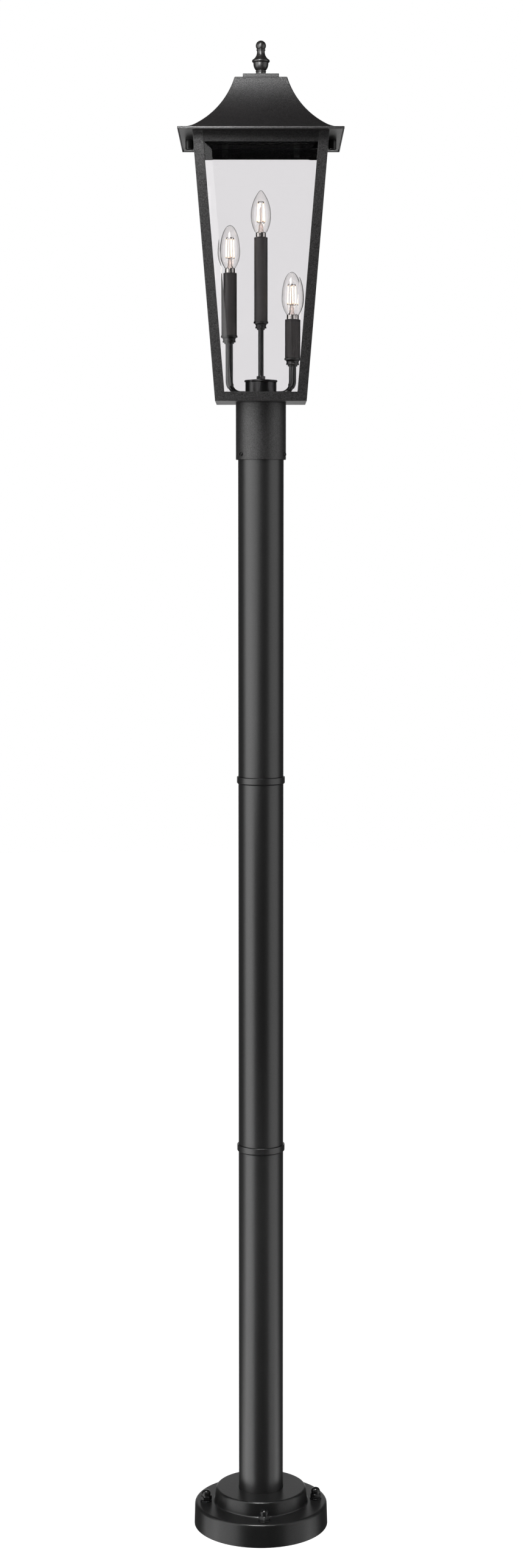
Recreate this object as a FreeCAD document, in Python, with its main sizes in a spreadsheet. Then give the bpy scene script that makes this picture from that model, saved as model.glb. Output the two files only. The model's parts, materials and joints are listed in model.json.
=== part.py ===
import FreeCAD, Part
import math
import os
from types import SimpleNamespace
import Sketcher
from FreeCAD import Placement, Rotation, Vector

# Garden lamp post: a square tapered lantern with three candles on a round sectional post.
# Millimetres, +Z up, origin at the centre of the base's underside, front of the lantern towards -Y.

SIZES = {
    # round post, made of three tubes and two couplings
    "post_diameter": 76.2,
    "post_wall": 2.0,
    "section_length": 620.5,
    "tube_chamfer": 0.8,
    "coupling_height": 12.0,
    "coupling_lip": 2.4,
    "coupling_chamfer": 1.5,
    "spigot_length": 60.0,
    "spigot_wall": 3.0,
    "spigot_clearance": 0.1,
    # cast base
    "base_diameter": 231.0,
    "flange_diameter": 228.6,
    "flange_height": 40.0,
    "flange_round": 6.0,
    "pedestal_foot_diameter": 161.0,
    "pedestal_diameter": 155.0,
    "pedestal_height": 25.0,
    "pedestal_round": 5.0,
    "pedestal_fillet": 4.0,
    "base_wall": 6.0,
    "socket_wall": 5.0,
    "socket_clearance": 0.2,
    "cable_hole_diameter": 56.0,
    # anchor holes and what closes them
    "anchor_count": 4,
    "anchor_pitch_diameter": 190.5,
    "anchor_turn": 3.3,
    "anchor_hole_diameter": 11.0,
    "anchor_boss_diameter": 26.0,
    "washer_diameter": 20.0,
    "washer_thickness": 2.0,
    "washer_hole_diameter": 10.5,
    "anchor_thread_diameter": 10.1,
    "anchor_nut_flats": 17.0,
    "anchor_nut_hex_height": 8.0,
    "anchor_nut_collar": 3.5,
    "anchor_nut_dome_diameter": 14.0,
    "anchor_nut_thread_depth": 13.0,
    # post fitter under the lantern
    "fitter_wall": 3.05,
    "fitter_clearance": 0.6,
    "fitter_skirt": 90.0,
    "fitter_top": 4.0,
    "set_screw_count": 3,
    "set_screw_turn": -51.0,
    "set_screw_height": 8.7,
    "set_screw_diameter": 5.0,
    "set_screw_head_diameter": 6.6,
    "set_screw_head_height": 3.0,
    "set_screw_gap": 0.15,
    # lantern cage
    "cage_bottom_width": 150.0,
    "cage_top_width": 220.0,
    "cage_height": 428.0,
    "bar_width": 16.5,
    "bar_thickness": 2.5,
    "bottom_rail_height": 15.0,
    "top_rail_height": 17.0,
    "floor_thickness": 3.0,
    "fit_gap": 0.1,
    # bevelled glass and its clips
    "glass_thickness": 4.0,
    "glass_overlap": 10.0,
    "bevel_width": 22.0,
    "bevel_depth": 1.8,
    "clip_width": 10.0,
    "clip_sheet": 1.0,
    "clip_grip": 8.0,
    "clip_spread": 0.55,
    # eave plate and roof
    "eave_overhang": 23.5,
    "eave_lip": 4.0,
    "eave_gap": 1.6,
    "eave_plate_thickness": 1.5,
    "eave_ledge": 15.0,
    "seat_gap": 0.3,
    "roof_sheet": 1.5,
    "roof_height": 92.0,
    "flare_lower_radius": 51.5,
    "flare_upper_radius": 154.8,
    "flare_turn": 33.6,
    "cap_setback": 13.2,
    "cap_thickness": 7.5,
    "rod_diameter": 6.0,
    "rod_hole_clearance": 0.5,
    "rod_reach": 18.0,
    "rod_nut_flats": 10.0,
    "rod_nut_height": 5.0,
    # roof fastening under the eave
    "thumb_nut_clearance": 0.8,
    "stud_diameter": 5.0,
    "stud_reach": 13.0,
    "stud_hole_clearance": 0.4,
    "thumb_nut_diameter": 13.6,
    "thumb_nut_length": 16.5,
    "thumb_nut_round": 3.0,
    "thread_clearance": 0.06,
    # finial
    "finial_height": 58.0,
    "finial_ball_diameter": 16.8,
    "finial_neck_diameter": 12.6,
    "finial_ring_diameter": 28.4,
    "finial_foot_diameter": 16.4,
    # hub
    "hub_diameter": 51.8,
    "hub_height": 31.0,
    "hub_wall": 2.0,
    "lid_diameter": 55.2,
    "lid_rim": 3.0,
    "lid_dome": 2.0,
    "hub_nut_flats": 13.5,
    "hub_nut_height": 5.0,
    "arm_height": 14.8,
    # stems, arms and candles
    "tube_diameter": 9.0,
    "tube_wall": 1.0,
    "tube_clearance": 0.1,
    "arm_bend": 18.0,
    "arm_inner_end": 13.0,
    "candle_offset": 51.0,
    "centre_candle_foot": 133.6,
    "left_candle_foot": 110.8,
    "right_candle_foot": 73.9,
    "centre_sleeve_length": 137.0,
    "left_sleeve_length": 101.7,
    "right_sleeve_length": 62.8,
    "sleeve_diameter": 22.2,
    "sleeve_wall": 1.0,
    "cup_diameter": 24.3,
    "cup_flange": 3.3,
    "cup_waist_diameter": 17.4,
    "cup_ring_diameter": 18.6,
    "cup_height": 11.5,
    "cup_nut_diameter": 12.8,
    "cup_nut_height": 2.4,
    "holder_diameter": 19.4,
    "holder_length": 35.0,
    "holder_depth": 18.5,
    "holder_set_back": 1.0,
    "holder_hub_depth": 11.0,
    # bulbs
    "bulb_screw_diameter": 11.8,
    "bulb_screw_length": 19.0,
    "bulb_collar_diameter": 15.6,
    "bulb_collar_height": 8.0,
    "bulb_clearance": 0.06,
    "bulb_diameter": 33.6,
    "bulb_neck_diameter": 14.4,
    "bulb_length": 70.0,
    "bulb_belly_height": 27.5,
    "bulb_tip_diameter": 5.0,
    "bulb_tip_rise": 1.3,
    "bulb_wall": 0.9,
}

doc = FreeCAD.newDocument("LampPost")
sheet = doc.addObject("Spreadsheet::Sheet", "Sizes")
for row, (alias, value) in enumerate(SIZES.items(), start=1):
    sheet.set(f"A{row}", alias.replace("_", " "))
    sheet.set(f"B{row}", str(value))
    sheet.setAlias(f"B{row}", alias)
doc.recompute()


class Size:
    """A length or an angle, kept with the expression on the sheet's cells that gives it."""

    def __init__(self, value, text):
        self.value = value
        self.text = text

    def __add__(self, other):
        other = as_size(other)
        return Size(self.value + other.value, f"({self.text} + {other.text})")

    def __sub__(self, other):
        other = as_size(other)
        return Size(self.value - other.value, f"({self.text} - {other.text})")

    def __mul__(self, other):
        other = as_size(other)
        return Size(self.value * other.value, f"({self.text} * {other.text})")

    def __truediv__(self, other):
        other = as_size(other)
        return Size(self.value / other.value, f"({self.text} / {other.text})")

    def __neg__(self):
        return Size(-self.value, f"(0 - {self.text})")

    def __radd__(self, other):
        return as_size(other) + self

    def __rsub__(self, other):
        return as_size(other) - self

    def __rmul__(self, other):
        return as_size(other) * self


def as_size(number):
    """Give a plain number the same form as a cell's value."""
    return number if isinstance(number, Size) else Size(float(number), f"{float(number):.9f}")


def root(size):
    return Size(math.sqrt(size.value), f"sqrt({size.text})")


def sine(angle):
    return Size(math.sin(math.radians(angle.value)), f"sin({angle.text})")


def cosine(angle):
    return Size(math.cos(math.radians(angle.value)), f"cos({angle.text})")


s = SimpleNamespace(**{name: Size(float(sheet.get(name)), f"Sizes.{name}") for name in SIZES})

# radii and levels that several pieces share
post_r = s.post_diameter / 2
spigot_r = post_r - s.post_wall - s.spigot_clearance
tube_r = s.tube_diameter / 2
tube_bore_r = tube_r - s.tube_wall
tube_hole_r = tube_r + s.tube_clearance
fitter_r = post_r + s.fitter_clearance + s.fitter_wall
anchor_r = s.anchor_pitch_diameter / 2
coupling_lower_z = s.flange_height + s.section_length
post_middle_z = coupling_lower_z + s.coupling_height
coupling_upper_z = post_middle_z + s.section_length
post_upper_z = coupling_upper_z + s.coupling_height
post_top_z = post_upper_z + s.section_length
cage_z = post_top_z + s.fitter_top
floor_z = cage_z + s.floor_thickness
plate_z = cage_z + s.cage_height
brim_z = plate_z + s.eave_plate_thickness + s.seat_gap + s.roof_sheet
roof_top_z = brim_z + s.roof_height
cap_top_z = roof_top_z + s.cap_thickness
lid_z = floor_z + s.hub_height
half_eave = s.cage_top_width / 2 + s.eave_overhang
half_opening = s.cage_top_width / 2 - s.eave_ledge
stud_x = s.cage_top_width / 2 + s.thumb_nut_clearance + s.thumb_nut_diameter / 2
cage_slope = (s.cage_top_width - s.cage_bottom_width) / 2 / s.cage_height
slope_length = root(1 + cage_slope * cage_slope)
slope_degrees = math.degrees(math.atan(cage_slope.value))
SIDES = ("front", "right", "rear", "left")
CORNERS = ("front_right", "rear_right", "rear_left", "front_left")
UP = Vector(0, 0, 1)
nodes = []


def cage_half(height):
    """Half the cage's outer width at a height above its lower edge."""
    return s.cage_bottom_width / 2 + cage_slope * height


def bind(target, prop, size):
    """Tie one property to the sheet."""
    target.setExpression(prop, as_size(size).text)


def node(target, label):
    """Name a finished piece and put it on the list of what is written."""
    target.Label = label
    nodes.append(target)
    return target


def move(target, x=0, y=0, z=0, rotation=None):
    """Place a piece, with its position tied to the sheet."""
    target.Placement = Placement(Vector(*(as_size(v).value for v in (x, y, z))), rotation or Rotation())
    for axis, size in zip("xyz", (x, y, z)):
        if isinstance(size, Size):
            bind(target, f"Placement.Base.{axis}", size)
    return target


def new_body(name):
    return doc.addObject("PartDesign::Body", name)


def sketch_on(body, name, role, offset=None):
    """Start a sketch on one of the body's own origin planes, or at an offset along its normal."""
    sketch = body.newObject("Sketcher::SketchObject", name)
    plane = next(f for f in body.Origin.OriginFeatures if f.Role == role)
    sketch.AttachmentSupport = [(plane, "")]
    sketch.MapMode = "FlatFace"
    if offset is not None:
        bind(sketch, "AttachmentOffset.Base.z", offset)
    return sketch


def arc_between(start, end, radius):
    """Arc of less than half a circle: a positive radius turns left on the way, a negative one right."""
    chord = end - start
    middle = (start + end) / 2
    left = Vector(-chord.y, chord.x, 0).normalize()
    rise = math.sqrt(max(radius * radius - chord.Length ** 2 / 4, 0))
    centre = middle + left * math.copysign(rise, radius)
    first, last = (start, end) if radius > 0 else (end, start)
    angles = [math.atan2(p.y - centre.y, p.x - centre.x) for p in (first, last)]
    return Part.ArcOfCircle(Part.Circle(centre, UP, abs(radius)), *angles)


def fix_point(sketch, shape, pos, x, y):
    """Tie a point of the sketch to the sheet."""
    for kind, axis, size in (("DistanceX", -2, x), ("DistanceY", -1, y)):
        if not isinstance(size, Size) and size == 0:
            sketch.addConstraint(Sketcher.Constraint("PointOnObject", shape, pos, axis))
            continue
        size = as_size(size)
        index = sketch.addConstraint(Sketcher.Constraint(kind, -1, 1, shape, pos, size.value))
        bind(sketch, f"Constraints[{index}]", size)


def fix_radius(sketch, shape, radius):
    index = sketch.addConstraint(Sketcher.Constraint("Radius", shape, radius.value))
    bind(sketch, f"Constraints[{index}]", radius)


def draw(sketch, corners):
    """Draw a closed outline. A corner is (x, y), or (x, y, radius) where an arc leads to it."""
    first = sketch.GeometryCount
    count = len(corners)
    points = [Vector(as_size(c[0]).value, as_size(c[1]).value, 0) for c in corners]
    starts = []
    for i in range(count):
        after = corners[(i + 1) % count]
        start, end = points[i], points[(i + 1) % count]
        if len(after) == 3:
            sketch.addGeometry(arc_between(start, end, after[2].value), False)
            starts.append(1 if after[2].value > 0 else 2)
        else:
            sketch.addGeometry(Part.LineSegment(start, end), False)
            starts.append(1)
    for i in range(count):
        after = (i + 1) % count
        joint = Sketcher.Constraint("Coincident", first + i, 3 - starts[i], first + after, starts[after])
        sketch.addConstraint(joint)
    for i, corner in enumerate(corners):
        fix_point(sketch, first + i, starts[i], corner[0], corner[1])
        radius = corners[(i + 1) % count][2:]
        if radius:
            fix_radius(sketch, first + i, radius[0] if radius[0].value > 0 else -radius[0])


def draw_circle(sketch, radius, x=0, y=0):
    """Draw a circle of the sheet's size and place."""
    centre = Vector(as_size(x).value, as_size(y).value, 0)
    shape = sketch.addGeometry(Part.Circle(centre, UP, radius.value), False)
    fix_point(sketch, shape, 3, x, y)
    fix_radius(sketch, shape, radius)


def draw_square(sketch, half):
    draw(sketch, [(-half, -half), (half, -half), (half, half), (-half, half)])


def revolve(body, corners, name="turned"):
    """Turn an outline in the XZ plane about Z."""
    sketch = sketch_on(body, f"{body.Name}_{name}_profile", "XZ_Plane")
    draw(sketch, corners)
    turned = body.newObject("PartDesign::Revolution", f"{body.Name}_{name}")
    turned.Profile = sketch
    turned.ReferenceAxis = (sketch, ["V_Axis"])
    turned.Angle = 360
    body.Tip = turned
    return turned


def turned_piece(label, corners, x=0, z=0, rotation=None):
    """A piece of revolution, drawn from its own zero level."""
    body = new_body(label)
    revolve(body, corners)
    move(body, x=x, z=z, rotation=rotation)
    return node(body, label)


def pad(body, sketch, length, name, reversed_way=False):
    feature = body.newObject("PartDesign::Pad", f"{body.Name}_{name}")
    feature.Profile = sketch
    feature.Length = as_size(length).value
    bind(feature, "Length", length)
    feature.Reversed = reversed_way
    body.Tip = feature
    return feature


def polar(body, feature, sketch, count):
    """Repeat a feature round the vertical axis."""
    pattern = body.newObject("PartDesign::PolarPattern", f"{feature.Name}_pattern")
    pattern.Originals = [feature]
    pattern.Axis = (sketch, ["N_Axis"])
    pattern.Angle = 360
    pattern.Occurrences = int(count.value)
    bind(pattern, "Occurrences", count)
    body.Tip = pattern
    return pattern


def cylinder(name, radius, height, x=0, y=0, z=0, rotation=None):
    shape = doc.addObject("Part::Cylinder", name)
    bind(shape, "Radius", radius)
    bind(shape, "Height", height)
    return move(shape, x, y, z, rotation)


def cut(name, base, tool):
    result = doc.addObject("Part::Cut", name)
    result.Base = base
    result.Tool = tool
    return result


def group(label, shape, placements):
    """Several equal pieces in one node, each a solid of its own."""
    doc.recompute()
    copies = []
    for place in placements:
        copy = shape.Shape.copy()
        copy.Placement = place.multiply(copy.Placement)
        copies.append(copy)
    feature = doc.addObject("Part::Feature", label)
    feature.Shape = Part.makeCompound(copies)
    return node(feature, label)


def ring_places(count, radius, turn, z):
    """Places spaced evenly round the post, the first one turned from the front."""
    places = []
    for i in range(int(count.value)):
        angle = math.radians(turn.value + 360 * i / count.value)
        spot = Vector(radius.value * math.sin(angle), -radius.value * math.cos(angle), z.value)
        places.append(Placement(spot, Rotation(UP, math.degrees(angle))))
    return places


def hexagon(flats):
    """Corners of a hexagon with two flats across the Y axis."""
    corner = flats / math.sqrt(3)
    turns = [math.radians(60 * i) for i in range(6)]
    points = [(corner * math.cos(a), corner * math.sin(a) if i % 3 else 0) for i, a in enumerate(turns)]
    return points


def hex_nut(name, flats, height, bore):
    """A hexagon nut that stands on its zero level, with its corners turned off at both faces."""
    body = new_body(name)
    sketch = sketch_on(body, f"{name}_plan", "XY_Plane")
    draw(sketch, hexagon(flats))
    draw_circle(sketch, bore)
    pad(body, sketch, height, "hexagon")
    trim_corners(body, flats, height, "top", height)
    trim_corners(body, flats, height, "bottom", as_size(0))
    return body


def trim_corners(body, flats, height, name, level):
    """Turn a nut's six corners off at one face, at 30 degrees."""
    inner = flats / 2
    outer = flats / math.sqrt(3) + 1
    drop = (outer - inner) * math.tan(math.radians(30))
    drop = drop if level.value > 0 else -drop
    sketch = sketch_on(body, f"{body.Name}_{name}_chamfer", "XZ_Plane")
    draw(sketch, [(inner, level + drop), (inner, level), (outer, level - drop), (outer, level + drop)])
    groove = body.newObject("PartDesign::Groove", f"{body.Name}_{name}_trim")
    groove.Profile = sketch
    groove.ReferenceAxis = (sketch, ["V_Axis"])
    groove.Angle = 360
    body.Tip = groove


def make_base():
    """Cast base: a hollow flange and pedestal, a socket for the post, and bosses for the anchors."""
    foot_r = s.base_diameter / 2
    flange_r = s.flange_diameter / 2
    pedestal_foot_r = s.pedestal_foot_diameter / 2
    pedestal_r = s.pedestal_diameter / 2
    top = s.flange_height + s.pedestal_height
    under = s.flange_height - s.base_wall
    socket_r = post_r + s.socket_clearance
    inner_r = pedestal_r - s.base_wall
    body = new_body("base_casting")
    revolve(body, [
        (foot_r - s.base_wall, 0),
        (foot_r, 0),
        (flange_r, s.flange_height - s.flange_round),
        (flange_r - s.flange_round, s.flange_height, s.flange_round),
        (pedestal_foot_r + s.pedestal_fillet, s.flange_height),
        (pedestal_foot_r, s.flange_height + s.pedestal_fillet, -s.pedestal_fillet),
        (pedestal_r, top - s.pedestal_round),
        (pedestal_r - s.pedestal_round, top, s.pedestal_round),
        (socket_r, top),
        (socket_r, s.flange_height),
        (s.cable_hole_diameter / 2, s.flange_height),
        (s.cable_hole_diameter / 2, under),
        (socket_r + s.socket_wall, under),
        (socket_r + s.socket_wall, top - s.base_wall),
        (inner_r, top - s.base_wall),
        (inner_r, under),
        (foot_r - s.base_wall, under),
    ])
    plan = sketch_on(body, "anchor_boss_plan", "XY_Plane")
    draw_circle(plan, s.anchor_boss_diameter / 2, y=-anchor_r)
    boss = pad(body, plan, s.flange_height - s.base_wall / 2, "boss")
    polar(body, boss, plan, s.anchor_count)
    holes = sketch_on(body, "anchor_hole_plan", "XY_Plane")
    draw_circle(holes, s.anchor_hole_diameter / 2, y=-anchor_r)
    hole = body.newObject("PartDesign::Pocket", "anchor_hole")
    hole.Profile = holes
    hole.Length = s.flange_height.value
    bind(hole, "Length", s.flange_height + 1)
    hole.Reversed = True
    body.Tip = hole
    polar(body, hole, holes, s.anchor_count)
    move(body, rotation=Rotation(UP, s.anchor_turn.value))
    bind(body, "Placement.Rotation.Angle", s.anchor_turn)
    node(body, "base_casting")


def make_anchor_hardware():
    """Washers and acorn nuts on the flange, one set over each anchor hole."""
    washer = new_body("washer")
    sketch = sketch_on(washer, "washer_plan", "XY_Plane")
    draw_circle(sketch, s.washer_diameter / 2)
    draw_circle(sketch, s.washer_hole_diameter / 2)
    pad(washer, sketch, s.washer_thickness, "disc")
    group("anchor_washers", washer, ring_places(s.anchor_count, anchor_r, s.anchor_turn, s.flange_height))

    nut = hex_nut("acorn_nut", s.anchor_nut_flats, s.anchor_nut_hex_height, s.anchor_thread_diameter / 2)
    dome_r = s.anchor_nut_dome_diameter / 2
    collar_top = s.anchor_nut_hex_height + s.anchor_nut_collar
    thread_r = s.anchor_thread_diameter / 2
    revolve(nut, [
        (thread_r, s.anchor_nut_hex_height / 2),
        (dome_r, s.anchor_nut_hex_height / 2),
        (dome_r, collar_top),
        (0, collar_top + dome_r, dome_r),
        (0, s.anchor_nut_thread_depth),
        (thread_r, s.anchor_nut_thread_depth),
    ], "dome")
    nut_z = s.flange_height + s.washer_thickness
    group("anchor_nuts", nut, ring_places(s.anchor_count, anchor_r, s.anchor_turn, nut_z))


def make_post():
    """Three equal tubes, with a coupling between each pair whose spigots stand in both tubes."""
    inner_r = post_r - s.post_wall
    edge = s.tube_chamfer
    tube = [
        (inner_r, 0),
        (post_r - edge, 0),
        (post_r, edge),
        (post_r, s.section_length - edge),
        (post_r - edge, s.section_length),
        (inner_r, s.section_length),
    ]
    for label, level in (("post_lower", s.flange_height), ("post_middle", post_middle_z), ("post_upper", post_upper_z)):
        turned_piece(label, tube, z=level)
    ring_r = post_r + s.coupling_lip
    bore_r = spigot_r - s.spigot_wall
    ring_top = s.coupling_height
    coupling = [
        (bore_r, -s.spigot_length),
        (spigot_r, -s.spigot_length),
        (spigot_r, 0),
        (ring_r - s.coupling_chamfer, 0),
        (ring_r, s.coupling_chamfer),
        (ring_r, ring_top),
        (spigot_r, ring_top),
        (spigot_r, ring_top + s.spigot_length),
        (bore_r, ring_top + s.spigot_length),
    ]
    turned_piece("coupling_lower", coupling, z=coupling_lower_z)
    turned_piece("coupling_upper", coupling, z=coupling_upper_z)


def radial_rotation(angle):
    """Turn a piece drawn along Z so that it points away from the post."""
    return Rotation(UP, Vector(math.sin(angle), -math.cos(angle), 0))


def make_fitter():
    """Sleeve over the post's upper end, with a closed top and three set screws."""
    bore_r = post_r + s.fitter_clearance
    low = -s.fitter_skirt
    blank = new_body("fitter_blank")
    revolve(blank, [
        (bore_r, low),
        (fitter_r, low),
        (fitter_r, s.fitter_top),
        (tube_hole_r, s.fitter_top),
        (tube_hole_r, 0),
        (bore_r, 0),
    ])
    move(blank, z=post_top_z)
    screw_z = post_top_z - s.fitter_skirt + s.set_screw_height
    angles = [math.radians(s.set_screw_turn.value + 360 * i / s.set_screw_count.value)
              for i in range(int(s.set_screw_count.value))]
    drills = doc.addObject("Part::MultiFuse", "set_screw_holes")
    drills.Shapes = [cylinder(f"set_screw_hole_{i}", s.set_screw_diameter / 2 + s.fit_gap, fitter_r + 1,
                              z=screw_z, rotation=radial_rotation(angle))
                     for i, angle in enumerate(angles)]
    node(cut("post_fitter", blank, drills), "post_fitter")

    screw = new_body("set_screw")
    tip = post_r + s.set_screw_gap
    head = fitter_r + s.fit_gap
    revolve(screw, [
        (0, tip),
        (s.set_screw_diameter / 2, tip),
        (s.set_screw_diameter / 2, head),
        (s.set_screw_head_diameter / 2, head),
        (s.set_screw_head_diameter / 2, head + s.set_screw_head_height),
        (0, head + s.set_screw_head_height),
    ])
    group("set_screws", screw, [Placement(Vector(0, 0, screw_z.value), radial_rotation(a)) for a in angles])


def wedge(name, x_low, x_high, y_low, y_high, bottom, top):
    """Straight bar whose section changes evenly from its bottom to its top.

    x_low to y_high give the section's sides as functions of the height above the cage's lower edge.
    The primitive rises along its own Y axis and is turned upright.
    """
    bar = doc.addObject("Part::Wedge", name)
    bind(bar, "Ymin", bottom)
    bind(bar, "Ymax", top)
    for prop, side, level in (
        ("Xmin", x_low, bottom), ("Xmax", x_high, bottom), ("X2min", x_low, top), ("X2max", x_high, top),
        ("Zmin", y_low, bottom), ("Zmax", y_high, bottom), ("Z2min", y_low, top), ("Z2max", y_high, top),
    ):
        bind(bar, prop, side(level))
    return move(bar, rotation=Rotation(Vector(1, 0, 0), 90))


def make_cage():
    """Four angle posts and eight flat rails between them, all leaning outwards."""
    def outer(height):
        return cage_half(height)

    def skin(height):
        return cage_half(height) - s.bar_thickness

    def inner(height):
        return cage_half(height) - s.bar_width

    def other_inner(height):
        return -inner(height)

    bottom = as_size(0)
    rail_top = s.cage_height - s.top_rail_height
    for i, corner in enumerate(CORNERS):
        name = f"corner_post_{corner}"
        front_leg = wedge(f"{name}_leg_a", inner, outer, skin, outer, bottom, s.cage_height)
        side_leg = wedge(f"{name}_leg_b", skin, outer, inner, outer, bottom, s.cage_height)
        angle = doc.addObject("Part::Fuse", name)
        angle.Base = front_leg
        angle.Tool = side_leg
        angle.Refine = True
        node(move(angle, z=cage_z, rotation=Rotation(UP, 90 * i)), name)
    for i, side in enumerate(SIDES):
        turn = Rotation(UP, 90 * i) * Rotation(Vector(1, 0, 0), 90)
        low = wedge(f"bottom_rail_{side}", other_inner, inner, skin, outer, bottom, s.bottom_rail_height)
        node(move(low, z=cage_z, rotation=turn), f"bottom_rail_{side}")
        high = wedge(f"top_rail_{side}", other_inner, inner, skin, outer, rail_top, s.cage_height)
        node(move(high, z=cage_z, rotation=turn), f"top_rail_{side}")


def make_floor():
    """Square plate inside the foot of the cage, with the hole for the wiring nipple."""
    body = new_body("floor_plate")
    sketch = sketch_on(body, "floor_plan", "XY_Plane")
    draw_square(sketch, s.cage_bottom_width / 2 - s.bar_thickness - s.fit_gap)
    draw_circle(sketch, tube_hole_r)
    pad(body, sketch, s.floor_thickness, "sheet")
    node(move(body, z=cage_z), "floor_plate")


def side_place(index):
    """The frame of one side of the cage: X along its foot, Z up its slope, Y inwards."""
    turn = Rotation(UP, 90 * index)
    foot = Vector(0, -s.cage_bottom_width.value / 2, 0)
    spot = turn.multVec(foot) + Vector(0, 0, cage_z.value)
    return Placement(spot, turn * Rotation(Vector(1, 0, 0), slope_degrees))


glass_face = (
    s.bar_thickness + s.fit_gap
    - s.bevel_depth * (s.bevel_width - s.glass_overlap) / s.bevel_width
)
glass_low = s.floor_thickness - (glass_face + s.bevel_depth) * cage_slope / slope_length
glass_high = s.cage_height - s.top_rail_height + s.glass_overlap


def make_glass():
    """Four trapezoid panes with a bevel all round the outer face."""
    def half_width(height):
        return cage_half(height) - s.bar_width + s.glass_overlap

    low = glass_low * slope_length
    high = glass_high * slope_length
    side_slope = (half_width(glass_high) - half_width(glass_low)) / (high - low)
    inset = s.bevel_width * root(1 + side_slope * side_slope)
    full = [
        (-half_width(glass_low), low),
        (half_width(glass_low), low),
        (half_width(glass_high), high),
        (-half_width(glass_high), high),
    ]
    low_inset = half_width(glass_low) + side_slope * s.bevel_width - inset
    high_inset = half_width(glass_high) - side_slope * s.bevel_width - inset
    face = [
        (-low_inset, low + s.bevel_width),
        (low_inset, low + s.bevel_width),
        (high_inset, high - s.bevel_width),
        (-high_inset, high - s.bevel_width),
    ]
    for i, side in enumerate(SIDES):
        label = f"glass_pane_{side}"
        body = new_body(label)
        # The plane's normal points outwards, so depths into the cage are negative.
        edge = sketch_on(body, f"{label}_edge", "XZ_Plane", -(glass_face + s.bevel_depth))
        draw(edge, full)
        pad(body, edge, s.glass_thickness - s.bevel_depth, "sheet", reversed_way=True)
        rim = sketch_on(body, f"{label}_rim", "XZ_Plane", -(glass_face + s.bevel_depth))
        draw(rim, full)
        front = sketch_on(body, f"{label}_face", "XZ_Plane", -glass_face)
        draw(front, face)
        bevel = body.newObject("PartDesign::AdditiveLoft", f"{label}_bevel")
        bevel.Profile = rim
        bevel.Sections = [front]
        bevel.Ruled = True
        body.Tip = bevel
        body.Placement = side_place(i)
        node(body, label)


def make_clips():
    """Bent tabs on the top rails that hold the panes from inside."""
    rest = glass_high * slope_length + 1
    back = glass_face + s.glass_thickness + s.fit_gap
    sheet_in = s.bar_thickness + s.clip_sheet
    top = s.cage_height * slope_length - 0.6
    body = new_body("glass_clip")
    sketch = sketch_on(body, "glass_clip_profile", "YZ_Plane")
    draw(sketch, [
        (s.bar_thickness, rest),
        (back, rest),
        (back, rest - s.clip_grip),
        (back + s.clip_sheet, rest - s.clip_grip),
        (back + s.clip_sheet, rest + s.clip_sheet),
        (sheet_in, rest + s.clip_sheet),
        (sheet_in, top),
        (s.bar_thickness, top),
    ])
    pad(body, sketch, s.clip_width, "strip").SideType = "Symmetric"
    spread = s.cage_top_width.value / 2 * s.clip_spread.value
    places = []
    for i in range(len(SIDES)):
        for x in (-spread, spread):
            places.append(side_place(i).multiply(Placement(Vector(x, 0, 0), Rotation())))
    group("glass_clips", body, places)


def make_eave_plate():
    """Square ring on top of the cage that closes the eave from below and carries the roof."""
    body = new_body("eave_plate")
    sketch = sketch_on(body, "eave_plan", "XY_Plane")
    draw_square(sketch, half_eave - s.roof_sheet - s.eave_gap)
    draw_square(sketch, half_opening)
    for x in (-stud_x, stud_x):
        draw_circle(sketch, s.stud_diameter / 2 + s.stud_hole_clearance, x=x)
    pad(body, sketch, s.eave_plate_thickness, "sheet")
    node(move(body, z=plate_z), "eave_plate")


def flare(thickness):
    """Half the roof's outline, from the eave to the top, moved inwards by a thickness.

    The outer skin leaves the eave level and follows two tangent arcs, a small one and then a large one.
    """
    low = s.flare_lower_radius
    centre_x = half_eave + (s.flare_upper_radius - low) * sine(s.flare_turn)
    centre_z = low + (s.flare_upper_radius - low) * cosine(s.flare_turn)
    low_r = low + thickness
    high_r = s.flare_upper_radius + thickness
    edge_x = half_eave - thickness
    edge_z = low - root(low_r * low_r - thickness * thickness)
    turn_x = half_eave - low_r * sine(s.flare_turn)
    turn_z = low - low_r * cosine(s.flare_turn)
    top_z = s.roof_height - thickness
    top_x = centre_x - root(high_r * high_r - (centre_z - top_z) * (centre_z - top_z))
    return [
        (edge_x, -s.eave_lip),
        (edge_x, edge_z),
        (turn_x, turn_z, -low_r),
        (top_x, top_z, -high_r),
    ]


def roof_form(name, thickness):
    """Square form that has the flared outline from all four sides."""
    half = flare(thickness)
    mirrored = [(-half[3][0], half[3][1]), (-half[2][0], half[2][1], half[3][2]),
                (-half[1][0], half[1][1], half[2][2]), (-half[0][0], half[0][1])]
    halves = []
    for role in ("XZ_Plane", "YZ_Plane"):
        body = new_body(f"{name}_{role[:2].lower()}")
        sketch = sketch_on(body, f"{body.Name}_outline", role)
        draw(sketch, half + mirrored)
        pad(body, sketch, half_eave * 2 + 2, "form").SideType = "Symmetric"
        halves.append(body)
    form = doc.addObject("Part::Common", name)
    form.Base = halves[0]
    form.Tool = halves[1]
    return form


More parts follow.
